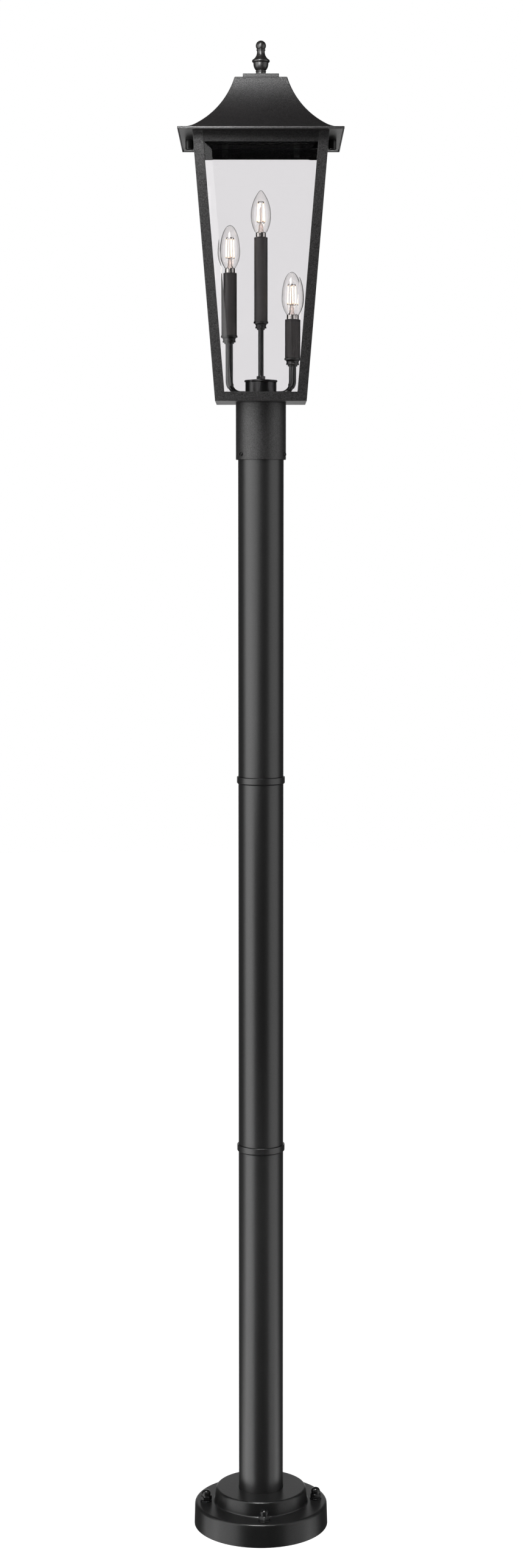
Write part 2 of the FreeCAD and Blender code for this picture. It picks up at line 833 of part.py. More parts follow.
def make_roof():
    """Hollow roof of bent sheet with a turned-down lip, its studs, the cap plate and the finial's rod."""
    hollow = cut("roof_hollow", roof_form("roof_skin", as_size(0)), roof_form("roof_inside", s.roof_sheet))
    hole_r = s.rod_diameter / 2 + s.rod_hole_clearance
    drill = cylinder("rod_hole", hole_r, s.roof_height, z=s.roof_height / 2)
    node(move(cut("roof_shell", hollow, drill), z=brim_z), "roof_shell")

    stud_r = s.stud_diameter / 2
    reach = half_eave - stud_x - stud_r
    inner_r = s.flare_lower_radius + s.roof_sheet
    ceiling = s.flare_lower_radius - root(inner_r * inner_r - reach * reach)
    stud_low = plate_z - s.stud_reach
    stud = cylinder("roof_stud", stud_r, brim_z + ceiling - s.fit_gap - stud_low, z=stud_low)
    group("roof_studs", stud, [Placement(Vector(x, 0, 0), Rotation())
                               for x in (-stud_x.value, stud_x.value)])

    cap = new_body("cap_plate")
    sketch = sketch_on(cap, "cap_plan", "XY_Plane")
    draw_square(sketch, flare(as_size(0))[3][0] - s.cap_setback)
    draw_circle(sketch, hole_r)
    pad(cap, sketch, s.cap_thickness, "plate")
    node(move(cap, z=roof_top_z), "cap_plate")

    ceiling_z = roof_top_z - s.roof_sheet
    rod_low = ceiling_z - s.rod_nut_height - 3
    rod = cylinder("finial_rod", s.rod_diameter / 2, cap_top_z + s.rod_reach - rod_low, z=rod_low)
    node(rod, "finial_rod")
    nut = hex_nut("finial_nut", s.rod_nut_flats, s.rod_nut_height, s.rod_diameter / 2 + s.fit_gap)
    node(move(nut, z=ceiling_z - s.rod_nut_height), "finial_nut")


def make_thumb_nuts():
    """Round nuts turned by hand under the eave: they hold the roof down on its studs."""
    outer_r = s.thumb_nut_diameter / 2
    bore_r = s.stud_diameter / 2 + s.thread_clearance
    low = -s.thumb_nut_length
    depth = -s.stud_reach - 1
    outline = [
        (0, low),
        (outer_r - s.thumb_nut_round, low),
        (outer_r, low + s.thumb_nut_round, s.thumb_nut_round),
        (outer_r, 0),
        (bore_r, 0),
        (bore_r, depth),
        (0, depth),
    ]
    turned_piece("thumb_nut_left", outline, x=-stud_x, z=plate_z)
    turned_piece("thumb_nut_right", outline, x=stud_x, z=plate_z)


def make_finial():
    """Turned finial, from its foot up: urn, ring, flared neck, bead and ball."""
    top = s.finial_height
    ball_r = s.finial_ball_diameter / 2
    neck_r = s.finial_neck_diameter / 2
    ring_r = s.finial_ring_diameter / 2
    foot_r = s.finial_foot_diameter / 2
    ball_drop = ball_r + root(ball_r * ball_r - neck_r * neck_r)
    bead = ball_r * 0.17
    ring_low = top * 0.378
    ring_high = top * 0.488
    shoulder_low = ring_r * 0.915
    shoulder_high = ring_r * 0.87
    bead_low = top - ball_drop - bead * 2.2
    turned_piece("finial", [
        (s.rod_diameter / 2 + s.fit_gap, 0),
        (foot_r, 0),
        (foot_r, top * 0.08),
        (foot_r, top * 0.125, foot_r * 0.24),
        (shoulder_low, ring_low, top * 0.62),
        (ring_r, (ring_low + ring_high) / 2, ring_r * 0.26),
        (shoulder_high, ring_high, ring_r * 0.26),
        (neck_r, bead_low, -(top * 0.28)),
        (neck_r, top - ball_drop, bead * 1.15),
        (ball_r, top - ball_r, ball_r),
        (0, top, ball_r),
        (0, s.rod_reach + 1),
        (s.rod_diameter / 2 + s.fit_gap, s.rod_reach + 1),
    ], z=cap_top_z)


def make_hub():
    """Cup on the lantern's floor that gathers the arms, with its lid, wiring nipple and four nuts."""
    outer_r = s.hub_diameter / 2
    inner_r = outer_r - s.hub_wall
    cup = new_body("hub_cup")
    revolve(cup, [
        (tube_hole_r, 0),
        (outer_r, 0),
        (outer_r, s.hub_height),
        (inner_r, s.hub_height),
        (inner_r, s.hub_wall),
        (tube_hole_r, s.hub_wall),
    ])
    move(cup, z=floor_z)
    drill = cylinder("arm_holes", tube_hole_r, s.hub_diameter + 2, x=-outer_r - 1,
                     z=floor_z + s.arm_height, rotation=Rotation(UP, Vector(1, 0, 0)))
    node(cut("hub_body", cup, drill), "hub_body")

    lid_r = s.lid_diameter / 2
    turned_piece("hub_lid", [
        (tube_hole_r, 0),
        (lid_r, 0),
        (lid_r, s.lid_rim),
        (tube_hole_r, s.lid_rim + s.lid_dome, lid_r * 5),
    ], z=lid_z)

    nut = hex_nut("hub_nut", s.hub_nut_flats, s.hub_nut_height, tube_hole_r)
    nipple_low = post_top_z - s.hub_nut_height - 2
    inner_nut_z = floor_z + s.hub_wall
    nipple_top = inner_nut_z + s.hub_nut_height + 1
    turned_piece("hub_nipple", [
        (tube_bore_r, 0),
        (tube_r, 0),
        (tube_r, nipple_top - nipple_low),
        (tube_bore_r, nipple_top - nipple_low),
    ], z=nipple_low)
    levels = (
        post_top_z - s.hub_nut_height,
        inner_nut_z,
        lid_z - s.hub_nut_height,
        lid_z + s.lid_rim + s.lid_dome,
    )
    group("hub_nuts", nut, [Placement(Vector(0, 0, level.value), Rotation()) for level in levels])


def tube_top(foot, length):
    """Level at which a candle's tube ends, inside the hub of its lamp holder."""
    return cage_z + foot + length - s.holder_set_back - s.holder_length + s.holder_hub_depth


def make_centre_stem():
    low = lid_z - s.hub_nut_height - 2
    height = tube_top(s.centre_candle_foot, s.centre_sleeve_length) - low
    turned_piece("stem_centre", [
        (tube_bore_r, 0),
        (tube_r, 0),
        (tube_r, height),
        (tube_bore_r, height),
    ], z=low)


def make_arm(label, side, foot, length):
    """Tube that leaves the hub level and bends upright under its candle."""
    level = floor_z + s.arm_height
    offset = s.candle_offset * side
    bend_x = (s.candle_offset - s.arm_bend) * side
    inner_x = s.arm_inner_end * side
    bend_z = s.arm_bend
    top = tube_top(foot, length) - level
    body = new_body(label)
    path = sketch_on(body, f"{label}_path", "XZ_Plane")
    points = [Vector(p[0].value, p[1].value, 0) for p in (
        (inner_x, as_size(0)), (bend_x, as_size(0)), (offset, bend_z), (offset, top))]
    path.addGeometry(Part.LineSegment(points[0], points[1]), False)
    path.addGeometry(arc_between(points[1], points[2], side * s.arm_bend.value), False)
    path.addGeometry(Part.LineSegment(points[2], points[3]), False)
    near, far = (1, 2) if side > 0 else (2, 1)
    path.addConstraint(Sketcher.Constraint("Coincident", 0, 2, 1, near))
    path.addConstraint(Sketcher.Constraint("Coincident", 1, far, 2, 1))
    fix_point(path, 0, 1, inner_x, 0)
    fix_point(path, 0, 2, bend_x, 0)
    fix_point(path, 2, 1, offset, bend_z)
    fix_point(path, 2, 2, offset, top)
    fix_radius(path, 1, s.arm_bend)
    for kind, name, radius in (("Additive", "wall", tube_r), ("Subtractive", "bore", tube_bore_r)):
        section = sketch_on(body, f"{label}_{name}_section", "YZ_Plane", inner_x)
        draw_circle(section, radius)
        pipe = body.newObject(f"PartDesign::{kind}Pipe", f"{label}_{name}")
        pipe.Profile = section
        pipe.Spine = (path, ["Edge1", "Edge2", "Edge3"])
        body.Tip = pipe
    node(move(body, z=level), label)


def make_candle(name, x, foot, length):
    """One candle: the cup under it, the sleeve, the lamp holder inside and the bulb."""
    foot_z = cage_z + foot
    top_z = foot_z + length
    flange_r = s.cup_diameter / 2
    waist_r = s.cup_waist_diameter / 2
    ring_r = s.cup_ring_diameter / 2
    nut_r = s.cup_nut_diameter / 2
    low = -s.cup_height
    ring_z = low + s.cup_height / 3
    turned_piece(f"candle_cup_{name}", [
        (tube_hole_r, low - s.cup_nut_height),
        (nut_r, low - s.cup_nut_height),
        (nut_r, low),
        (ring_r, low),
        (waist_r, ring_z),
        (flange_r, -s.cup_flange, -s.cup_height),
        (flange_r, 0),
        (tube_hole_r, 0),
    ], x=x, z=foot_z)

    sleeve_r = s.sleeve_diameter / 2
    bore_r = sleeve_r - s.sleeve_wall
    turned_piece(f"candle_sleeve_{name}", [
        (bore_r, 0),
        (sleeve_r, 0),
        (sleeve_r, length),
        (bore_r, length),
    ], x=x, z=foot_z)

    screw_r = s.bulb_screw_diameter / 2
    socket_r = screw_r + s.bulb_clearance
    holder_r = s.holder_diameter / 2
    floor = s.holder_length - s.holder_depth
    turned_piece(f"lamp_holder_{name}", [
        (tube_hole_r, 0),
        (holder_r, 0),
        (holder_r, s.holder_length),
        (socket_r, s.holder_length),
        (socket_r, floor),
        (0, floor),
        (0, s.holder_hub_depth + s.fit_gap),
        (tube_hole_r, s.holder_hub_depth + s.fit_gap),
    ], x=x, z=top_z - s.holder_set_back - s.holder_length)

    collar_r = s.bulb_collar_diameter / 2
    neck_r = s.bulb_neck_diameter / 2
    collar = s.bulb_collar_height
    turned_piece(f"bulb_base_{name}", [
        (0, -s.bulb_screw_length),
        (screw_r * 0.45, -s.bulb_screw_length),
        (screw_r, -s.bulb_screw_length + screw_r * 0.5),
        (screw_r, 0),
        (collar_r, s.seat_gap),
        (collar_r, collar),
        (0, collar),
    ], x=x, z=top_z)

    belly_r = s.bulb_diameter / 2
    turned_piece(f"bulb_glass_{name}", bulb_outline(neck_r, belly_r), x=x, z=top_z + collar)


def side_arc(dx, dz):
    """Radius of an arc that starts upright and reaches dx sideways over a height dz."""
    return (dx * dx + dz * dz) / dx / 2


def bulb_outline(neck_r, belly_r):
    """Hollow candle-shaped envelope: both flanks leave the belly upright, and a small cap closes the tip."""
    wall = s.bulb_wall
    tip_r = s.bulb_tip_diameter / 2
    belly = s.bulb_belly_height
    shoulder = s.bulb_length - s.bulb_tip_rise
    lower = side_arc(belly_r - neck_r, belly)
    upper = side_arc(belly_r - tip_r, shoulder - belly)
    inner_tip = tip_r - wall
    inner_rise = s.bulb_tip_rise - wall
    return [
        (neck_r - wall, 0, -(lower - wall)),
        (neck_r, 0),
        (belly_r, belly, lower),
        (tip_r, shoulder, upper),
        (0, s.bulb_length, side_arc(s.bulb_tip_rise, tip_r)),
        (0, s.bulb_length - wall),
        (inner_tip, shoulder, -side_arc(inner_rise, inner_tip)),
        (belly_r - wall, belly, -(upper - wall)),
    ]


def failures():
    """Names of objects that did not compute, and of pieces without a sound shape."""
    bad = [o.Name for o in doc.Objects if {"Invalid", "Error"} & set(o.State)]
    bad += [o.Label for o in nodes if o.Shape.isNull() or not o.Shape.isValid() or not o.Shape.Solids]
    return bad


def main():
    make_base()
    make_anchor_hardware()
    make_post()
    make_fitter()
    make_floor()
    make_cage()
    make_glass()
    make_clips()
    make_eave_plate()
    make_roof()
    make_thumb_nuts()
    make_finial()
    make_hub()
    make_centre_stem()
    make_arm("arm_left", -1, s.left_candle_foot, s.left_sleeve_length)
    make_arm("arm_right", 1, s.right_candle_foot, s.right_sleeve_length)
    make_candle("centre", 0, s.centre_candle_foot, s.centre_sleeve_length)
    make_candle("left", -s.candle_offset, s.left_candle_foot, s.left_sleeve_length)
    make_candle("right", s.candle_offset, s.right_candle_foot, s.right_sleeve_length)
    doc.recompute()
    bad = failures()
    if bad:
        raise RuntimeError("not built: " + ", ".join(bad))
    os.makedirs("parts", exist_ok=True)
    for piece in nodes:
        piece.Shape.exportStep(f"parts/{piece.Label}.step")
        box = piece.Shape.BoundBox
        print(f"{piece.Label}: {len(piece.Shape.Solids)} solid(s), {piece.Shape.Volume:.0f} mm3, "
              f"z {box.ZMin:.1f} to {box.ZMax:.1f}")


main()
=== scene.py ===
"""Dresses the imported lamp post: turned, swept and bent surfaces, powder coat, bevelled glass and light."""

import json
import math

import bpy
import numpy as np
from bpy.props import FloatProperty, FloatVectorProperty, PointerProperty
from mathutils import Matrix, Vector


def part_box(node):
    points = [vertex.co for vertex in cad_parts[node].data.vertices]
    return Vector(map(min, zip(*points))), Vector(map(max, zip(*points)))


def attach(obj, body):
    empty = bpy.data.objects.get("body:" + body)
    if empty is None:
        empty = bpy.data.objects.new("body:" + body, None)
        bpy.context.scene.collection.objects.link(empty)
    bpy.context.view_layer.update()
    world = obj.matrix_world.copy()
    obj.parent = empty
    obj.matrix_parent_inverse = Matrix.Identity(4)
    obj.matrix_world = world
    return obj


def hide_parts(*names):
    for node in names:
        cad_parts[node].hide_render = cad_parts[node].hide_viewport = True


bl_info = {
    "name": "Lamp Post",
    "version": (1, 0, 0),
    "blender": (4, 5, 0),
    "location": "3D View > Sidebar > Lamp Post",
    "description": "Builds the visible surfaces of a post lantern around its packed CAD frame",
    "category": "Object",
}

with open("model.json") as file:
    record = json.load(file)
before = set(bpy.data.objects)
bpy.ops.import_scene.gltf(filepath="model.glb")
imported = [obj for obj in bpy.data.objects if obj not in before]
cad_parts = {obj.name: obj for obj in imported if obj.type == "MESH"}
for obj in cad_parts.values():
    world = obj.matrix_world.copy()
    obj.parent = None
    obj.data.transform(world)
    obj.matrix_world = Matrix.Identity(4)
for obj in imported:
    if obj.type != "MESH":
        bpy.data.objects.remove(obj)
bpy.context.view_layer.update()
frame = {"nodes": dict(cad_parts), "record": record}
RECORD = frame["record"]
BODY_OF = {n: body for body, names in RECORD["behaviour"]["bodies"].items() for n in names}
MM = 0.001
SIDES = ("front", "right", "rear", "left")
CORNERS = ("front_right", "rear_right", "rear_left", "front_left")
CANDLES = ("centre", "left", "right")

# Clearances on each side: general, post in its socket, fitter over the post, roof sheet above the eave plate.
FIT = 0.1 * MM
SOCKET_FIT = 0.2 * MM
FITTER_FIT = 0.6 * MM
ROOF_SEAT = 0.3 * MM

NIPPLE_HOLE = 4.6 * MM  # radius of the holes that the hub's nipple passes
ANCHOR_TURN = math.radians(3.3)  # of the first anchor from the front
SCREW_TURNS = [math.radians(angle) for angle in (-51, 69, 189)]  # of the set screws from the front
HOTTEST = (1.0, 0.9, 0.72)  # light of a filament's middle
RANGE_SOCKETS = ("From Min", "From Max", "To Min", "To Max")


def low(node, axis=2):
    """A CAD node's lowest coordinate along an axis, in metres."""
    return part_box(node)[0][axis]


def high(node, axis=2):
    """A CAD node's highest coordinate along an axis, in metres."""
    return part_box(node)[1][axis]


def span(node, axis=0):
    """A CAD node's size along an axis, in metres."""
    return high(node, axis) - low(node, axis)


def middle(node, axis=0):
    return (high(node, axis) + low(node, axis)) / 2


def length(name, description, default):
    """A length in metres that the sidebar shows."""
    return FloatProperty(name=name, description=description, default=default, min=0.1 * MM,
                         precision=4, unit="LENGTH", subtype="DISTANCE")


def angle(name, description, degrees):
    """An angle that is written in degrees and kept in radians."""
    return FloatProperty(name=name, description=description, default=math.radians(degrees), subtype="ANGLE")


def colour(name, description, default):
    return FloatVectorProperty(name=name, description=description, default=default, size=3,
                               min=0.0, max=1.0, subtype="COLOR")


def strength(name, description, default, largest):
    return FloatProperty(name=name, description=description, default=default, min=0.0, max=largest)


def power(name, lamp, default):
    return strength(name, f"Power of {lamp}, in watts", default, 5000.0)


class LampPostPostSizes(bpy.types.PropertyGroup):
    tube_diameter: length("Tube diameter", "Outside diameter of the post", span("post_upper"))
    tube_wall: length("Tube wall", "Wall of the post's tubes", 2.0 * MM)
    edge_round: length("Edge round", "Round on the tube ends and couplings", 0.6 * MM)
    coupling_wall: length("Coupling wall", "Wall of the coupling's spigots", 3.0 * MM)
    skirt_diameter: length("Skirt diameter", "Outside of the base at the ground", span("base_casting", 1))
    flange_diameter: length("Flange diameter", "Outside of the base at the flange's upper edge", 228.6 * MM)
    flange_round: length("Flange round", "Round on the flange's upper edge", 4.5 * MM)
    pedestal_foot: length("Pedestal foot", "Diameter of the pedestal at the flange", 161.0 * MM)
    pedestal_top: length("Pedestal top", "Diameter of the pedestal at its top", 155.0 * MM)
    pedestal_round: length("Pedestal round", "Round on the pedestal's upper edge", 3.6 * MM)
    casting_wall: length("Casting wall", "Wall of the base casting", 6.0 * MM)
    boss_diameter: length("Boss diameter", "Outside of the anchor bosses", 26.0 * MM)
    anchor_circle: length("Anchor circle", "Diameter of the circle of anchors", 190.5 * MM)
    anchor_hole: length("Anchor hole", "Diameter of the anchor holes", 11.0 * MM)


class LampPostLanternSizes(bpy.types.PropertyGroup):
    bottom_width: length("Bottom width", "Outside width of the cage at its foot", 150.0 * MM)
    top_width: length("Top width", "Outside width of the cage at its top", 220.0 * MM)
    bar_width: length("Bar width", "Face width of the corner bars", 16.5 * MM)
    bar_thickness: length("Bar thickness", "Thickness of the cage's bars", 2.5 * MM)
    bar_round: length("Bar round", "Round on the edges of the bars", 0.35 * MM)
    roof_sheet: length("Roof sheet", "Thickness of the roof", 1.5 * MM)
    hip_round: length("Hip round", "Round along the roof's four hips", 1.2 * MM)
    lower_flare: length("Lower flare", "Radius of the roof's curve near the eave", 51.5 * MM)
    upper_flare: length("Upper flare", "Radius of the roof's curve above it", 154.8 * MM)
    flare_turn: angle("Flare turn", "Angle at which the two curves meet", 33.6)
    cap_round: length("Cap round", "Round on the cap plate's edges", 0.7 * MM)


class LampPostCandleSizes(bpy.types.PropertyGroup):
    tube_diameter: length("Tube diameter", "Outside of the arms and the stem", 9.0 * MM)
    tube_wall: length("Tube wall", "Wall of the arms and the stem", 1.0 * MM)
    arm_bend: length("Arm bend", "Bend radius of the arms", 18.0 * MM)
    sleeve_wall: length("Sleeve wall", "Wall of the candle sleeves", 1.0 * MM)
    filament_length: length("Filament length", "Length of a bulb's filament", 29.5 * MM)
    filament_diameter: length("Filament diameter", "Thickness of a filament", 1.8 * MM)
    filament_circle: length("Filament circle", "Radius on which a bulb's filaments stand", 6.0 * MM)


class LampPostFinish(bpy.types.PropertyGroup):
    post_coat: colour("Post coat", "Satin black of the post and base", (0.0088, 0.0088, 0.0089))
    lantern_coat: colour("Lantern coat", "Grained black of the lantern", (0.0125, 0.0116, 0.0120))
    candle_coat: colour("Candle coat", "Black of the hub, arms and cups", (0.0075, 0.0074, 0.0075))
    finial_coat: colour("Finial coat", "Semi-gloss black of the finial", (0.016, 0.0148, 0.0142))
    # The sleeves' own matt grey, lightened further as painted light for the light that the panes keep from the
    # candles; the lamp holders share it.
    sleeve_coat: colour("Sleeve coat", "Matt black of the candle sleeves", (0.078, 0.0725, 0.0705))
    nickel: colour("Nickel", "Plating of the bulb caps", (0.72, 0.69, 0.66))
    pane_tint: colour("Pane tint", "Tint of the bevelled panes", (0.93, 0.92, 0.93))
    glow: colour("Glow", "Light of the filaments' ends", (0.34, 0.16, 0.055))
    glow_strength: strength("Glow strength", "Brightness of the filaments", 3.0, 100.0)


class LampPostStudio(bpy.types.PropertyGroup):
    camera_distance: length("Camera distance", "Distance from the camera to the post", 4.296)
    camera_height: length("Camera height", "Height of the camera above the ground", 1.74)
    camera_pitch: angle("Camera pitch", "Angle by which the camera looks down", 5.953)
    camera_lens: FloatProperty(name="Camera lens", description="Focal length for a 36 mm high frame, in mm",
                               default=4200 / 2576 * 36, min=1.0)
    left_light: power("Left light", "the left softbox", 78.5)
    right_light: power("Right light", "the right softbox", 41.9)
    side_strip: power("Side strip", "the upright strip near the post", 0.725)
    eave_light: power("Eave light", "the small light level with the eave", 0.575)
    high_light: power("High light", "the light above and in front", 10.9)
    strip_light: power("Strip light", "the strip that the panes' bevels mirror", 1.3)
    rim_light: power("Rim light", "the disc above the base", 0.85)
    low_left: power("Low left", "the low lamp left of the base", 7.6)
    low_right: power("Low right", "the low lamp right of the base", 4.0)
    room_light: strength("Room light", "Strength of the light from all round", 0.08, 10.0)


def arc(start, end, rise, count=10):
    """Points on the arc from start to end whose middle stands out by rise to the right of the way.

    With half the chord c, the radius is (c^2 + rise^2) / (2 rise); the points are evenly spaced in angle.
    """
    start, end = np.array(start, float), np.array(end, float)
    chord = (end - start) / 2
    half = np.hypot(*chord)
    along = chord / half
    out = np.array([along[1], -along[0]])
    radius = (half ** 2 + rise ** 2) / (2 * rise)
    centre = (start + end) / 2 + out * (rise - radius)
    limit = 2 * math.atan2(rise, half)
    turn = np.linspace(-limit, limit, count)[:, None]
    return centre + radius * (np.sin(turn) * along + np.cos(turn) * out)


def rounded(corners, steps=4, closed=True):
    """Outline with its corners rounded; a corner is (x, y) or (x, y, radius).

    A round starts and ends at radius / tan(half the corner's angle) from the corner, and its points turn
    evenly about the centre that lies on the corner's bisector.
    """
    corners = [tuple(c) + (0.0,) * (3 - len(c)) for c in corners]
    p = np.array(corners, float)
    here, radius = p[:, :2], p[:, 2]
    back = np.roll(here, 1, 0) - here
    on = np.roll(here, -1, 0) - here
    back = back / np.linalg.norm(back, axis=1, keepdims=True)
    on = on / np.linalg.norm(on, axis=1, keepdims=True)
    half = np.arccos(np.clip((back * on).sum(1), -1, 1)) / 2
    flat = (radius <= 0) | (half > math.pi / 2 - 1e-4)
    if not closed:
        flat[[0, -1]] = True
    half = np.where(flat, math.pi / 4, half)
    bisector = back + on
    bisector = bisector / np.maximum(np.linalg.norm(bisector, axis=1, keepdims=True), 1e-12)
    centre = here + bisector * (radius / np.sin(half))[:, None]
    reach = (radius / np.tan(half))[:, None]
    first, last = here + back * reach - centre, here + on * reach - centre
    sweep = math.pi - 2 * half
    t = np.linspace(0, 1, steps + 1)[None, :, None]
    s = sweep[:, None, None]
    curve = np.sin((1 - t) * s) * first[:, None] + np.sin(t * s) * last[:, None]
    curve = curve / np.sin(s) + centre[:, None]
    curve = np.where(flat[:, None, None], here[:, None], curve).reshape(-1, 2)
    step = np.linalg.norm(curve - np.roll(curve, 1, 0), axis=1)
    keep = step > 1e-7
    if not closed:
        keep[0] = True
    return curve[keep]


def walled(inner, outer, bottom, top, *rounds):
    """Outline of a tube's wall; rounds go inner bottom, outer bottom, outer top, inner top."""
    corners = ((inner, bottom), (outer, bottom), (outer, top), (inner, top))
    return rounded([(*corner, edge) for corner, edge in zip(corners, rounds)])


def tube_faces(rows, columns, closed):
    """Quads of a grid whose columns run round; its rows run round too where closed is true."""
    r = np.arange(rows if closed else rows - 1)[:, None]
    c = np.arange(columns)[None, :]
    after, beside = (r + 1) % rows, (c + 1) % columns
    here, over = r * columns, after * columns
    return np.stack([here + c, here + beside, over + beside, over + c], -1).reshape(-1, 4)


def wrapped(grid):
    """Surface over a grid of points: rows follow the outline, columns run round.

    The rows close up into a ring. Where the outline starts and ends on the axis, both ends are points instead.
    """
    rows, columns = grid.shape[:2]
    if np.ptp(grid[0], axis=0).any():
        return grid.reshape(-1, 3), [tube_faces(rows, columns, True)]
    rings = grid[1:-1]
    count = (rows - 2) * columns
    points = np.concatenate([rings.reshape(-1, 3), grid[0, :1], grid[-1, :1]])
    here = np.arange(columns)
    beside = (here + 1) % columns
    bottom = np.stack([np.full(columns, count), beside, here], -1)
    last = (rows - 3) * columns
    top = np.stack([last + here, last + beside, np.full(columns, count + 1)], -1)
    return points, [tube_faces(rows - 2, columns, False), bottom, top]


def ring(count):
    """Unit vectors at equal angles round the circle."""
    turn = np.arange(count) * (2 * math.pi / count)
    return np.stack([np.cos(turn), np.sin(turn)], -1)


def turned(outline, segments=96, at=(0.0, 0.0, 0.0)):
    """Surface of revolution: (r cos a, r sin a, z) for the outline's (r, z) and all angles a."""
    outline = np.asarray(outline, float)
    circle = ring(segments)
    flat = outline[:, :1, None] * circle[None]
    level = np.broadcast_to(outline[:, 1:, None], (len(outline), segments, 1))
    return wrapped(np.concatenate([flat, level], 2) + np.array(at))


def squared(outline):
    """Square form of revolution: the outline gives (half width, corner radius, z).

    Each level is a square whose corners are arcs: corner centre (h - p) (+-1, +-1) plus p (cos a, sin a).
    """
    outline = np.asarray(outline, float)
    per_corner = 6
    quarter = np.linspace(0, math.pi / 2, per_corner)
    turn = (quarter[None] + np.arange(4)[:, None] * (math.pi / 2)).ravel()
    diagonal = np.repeat(np.arange(4) * (math.pi / 2) + math.pi / 4, per_corner)
    way = np.stack([np.cos(turn), np.sin(turn)], -1)
    corner = np.stack([np.cos(diagonal), np.sin(diagonal)], -1) * math.sqrt(2)
    half, radius, level = (outline[:, k, None, None] for k in range(3))
    flat = (half - radius) * corner[None] + radius * way[None]
    return wrapped(np.concatenate([flat, np.broadcast_to(level, flat.shape[:2] + (1,))], 2))


def hexagonal(outline, flats):
    """Turned form cut to a hexagon.

    The radius is the smaller of the outline's and flats / 2 / cos(angle from the nearest flat's middle).
    """
    outline = np.asarray(outline, float)
    count = 6 * 8
    turn = np.arange(count) * (2 * math.pi / count)
    from_flat = (turn + math.pi / 6) % (math.pi / 3) - math.pi / 6
    limit = flats / 2 / np.cos(from_flat)
    radius = np.minimum(outline[:, :1], limit[None])
    level = np.broadcast_to(outline[:, 1:], radius.shape)
    return wrapped(np.stack([radius * np.cos(turn), radius * np.sin(turn), level], -1))


def swept(outline, path, segments):
    """Tube form along a path: the outline's (r, s) becomes path(s) + r (cos a side + sin a up).

    path takes distances and gives points and two unit vectors across the way.
    """
    outline = np.asarray(outline, float)
    centre, side, up = path(outline[:, 1])
    circle = ring(segments)
    across = circle[None, :, :1] * side[:, None] + circle[None, :, 1:] * up[:, None]
    return wrapped(centre[:, None] + outline[:, :1, None] * across)


def rod(start, end, radius, segments=12, tip=0.0):
    """Round rod from one point to another, with a cone of the length tip at each end."""
    start, end = np.array(start, float), np.array(end, float)
    reach = np.linalg.norm(end - start)
    way = (end - start) / reach
    side = np.cross(way, (0.3, 0.7, 0.2))
    side = side / np.linalg.norm(side)
    up = np.cross(way, side)

    def path(s):
        s = np.asarray(s, float)[:, None]
        return start + way * s, np.broadcast_to(side, (len(s), 3)), np.broadcast_to(up, (len(s), 3))

    cone = [(radius - tip * 0.4, 0), (radius, tip)] if tip else [(radius, 0)]
    outline = [(0, 0), *cone, *[(r, reach - s) for r, s in cone[::-1]], (0, reach)]
    return swept(outline, path, segments)


def bar(first, last):
    """Solid bar between two outlines of equal count, with a flat face at each end."""
    count = len(first)
    loop = np.arange(count)
    return np.concatenate([first, last]), [tube_faces(2, count, False), loop[None, ::-1], loop[None] + count]


def joined(shapes):
    """Several surfaces as one: their points one after another, with the faces counted on."""
    points, faces, count = [], [], 0
    for own, groups in shapes:
        points.append(own)
        faces += [g + count for g in groups]
        count += len(own)
    return np.concatenate(points), faces


def placed(shape, matrix, shift=(0.0, 0.0, 0.0)):
    """Surface turned by a 3 x 3 matrix and then moved."""
    points, faces = shape
    return points @ matrix.T + np.array(shift, float), faces


def about_z(turn):
    """Matrix of a turn about the vertical axis."""
    c, s = math.cos(turn), math.sin(turn)
    return np.array([[c, -s, 0], [s, c, 0], [0, 0, 1.0]])


def outwards(turn):
    """Matrix that lays a form drawn along Z on its side, facing outwards at a turn from the front."""
    away = np.array([math.sin(turn), -math.cos(turn), 0.0])
    up = np.array([0.0, 0.0, 1.0])
    return np.stack([np.cross(up, away), up, away], 1)


def mesh_object(name, points, faces, material):
    mesh = bpy.data.meshes.new(name)
    mesh.from_pydata(points.tolist(), [], faces)
    mesh.materials.append(material)
    target = bpy.data.objects.new(name, mesh)
    bpy.context.scene.collection.objects.link(target)
    return target


def piece(name, shape, material, nodes, sharp=32.0, replaces=True):
    """Puts a surface into the scene in place of the CAD nodes, or beside them where replaces is false.

    Edges that bend by more than sharp degrees stay crisp.
    """
    points, groups = shape
    target = mesh_object(name, points, [f for g in groups for f in g.tolist()], material)
    mesh = target.data
    mesh.polygons.foreach_set("use_smooth", np.ones(len(mesh.polygons), bool))
    mesh.set_sharp_from_angle(angle=math.radians(sharp))
    mesh.update()
    even = target.modifiers.new("Even shading", "WEIGHTED_NORMAL")
    even.keep_sharp = True
    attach(target, BODY_OF[nodes[0]])
    if replaces:
        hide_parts(*nodes)
    return target


def coat_nodes(material, *nodes):
    """Gives CAD nodes that stay in view a finished material."""
    for name in nodes:
        materials = frame["nodes"][name].data.materials
        materials.clear()
        materials.append(material)


def maths(tree, operation, first, second=0.0):
    """A Math node's output; its inputs are numbers or sockets."""
    node = tree.nodes.new("ShaderNodeMath")
    node.operation = operation
    for socket, value in zip(node.inputs, (first, second)):
        if isinstance(value, (int, float)):
            socket.default_value = value
        else:
            tree.links.new(value, socket)
    return node.outputs[0]


def ranged(tree, value, *numbers):
    """A Map Range node that takes a signal from its first two numbers to its last two."""
    node = tree.nodes.new("ShaderNodeMapRange")
    for socket, number in zip(RANGE_SOCKETS, numbers):
        node.inputs[socket].default_value = number
    tree.links.new(value, node.inputs["Value"])
    return node


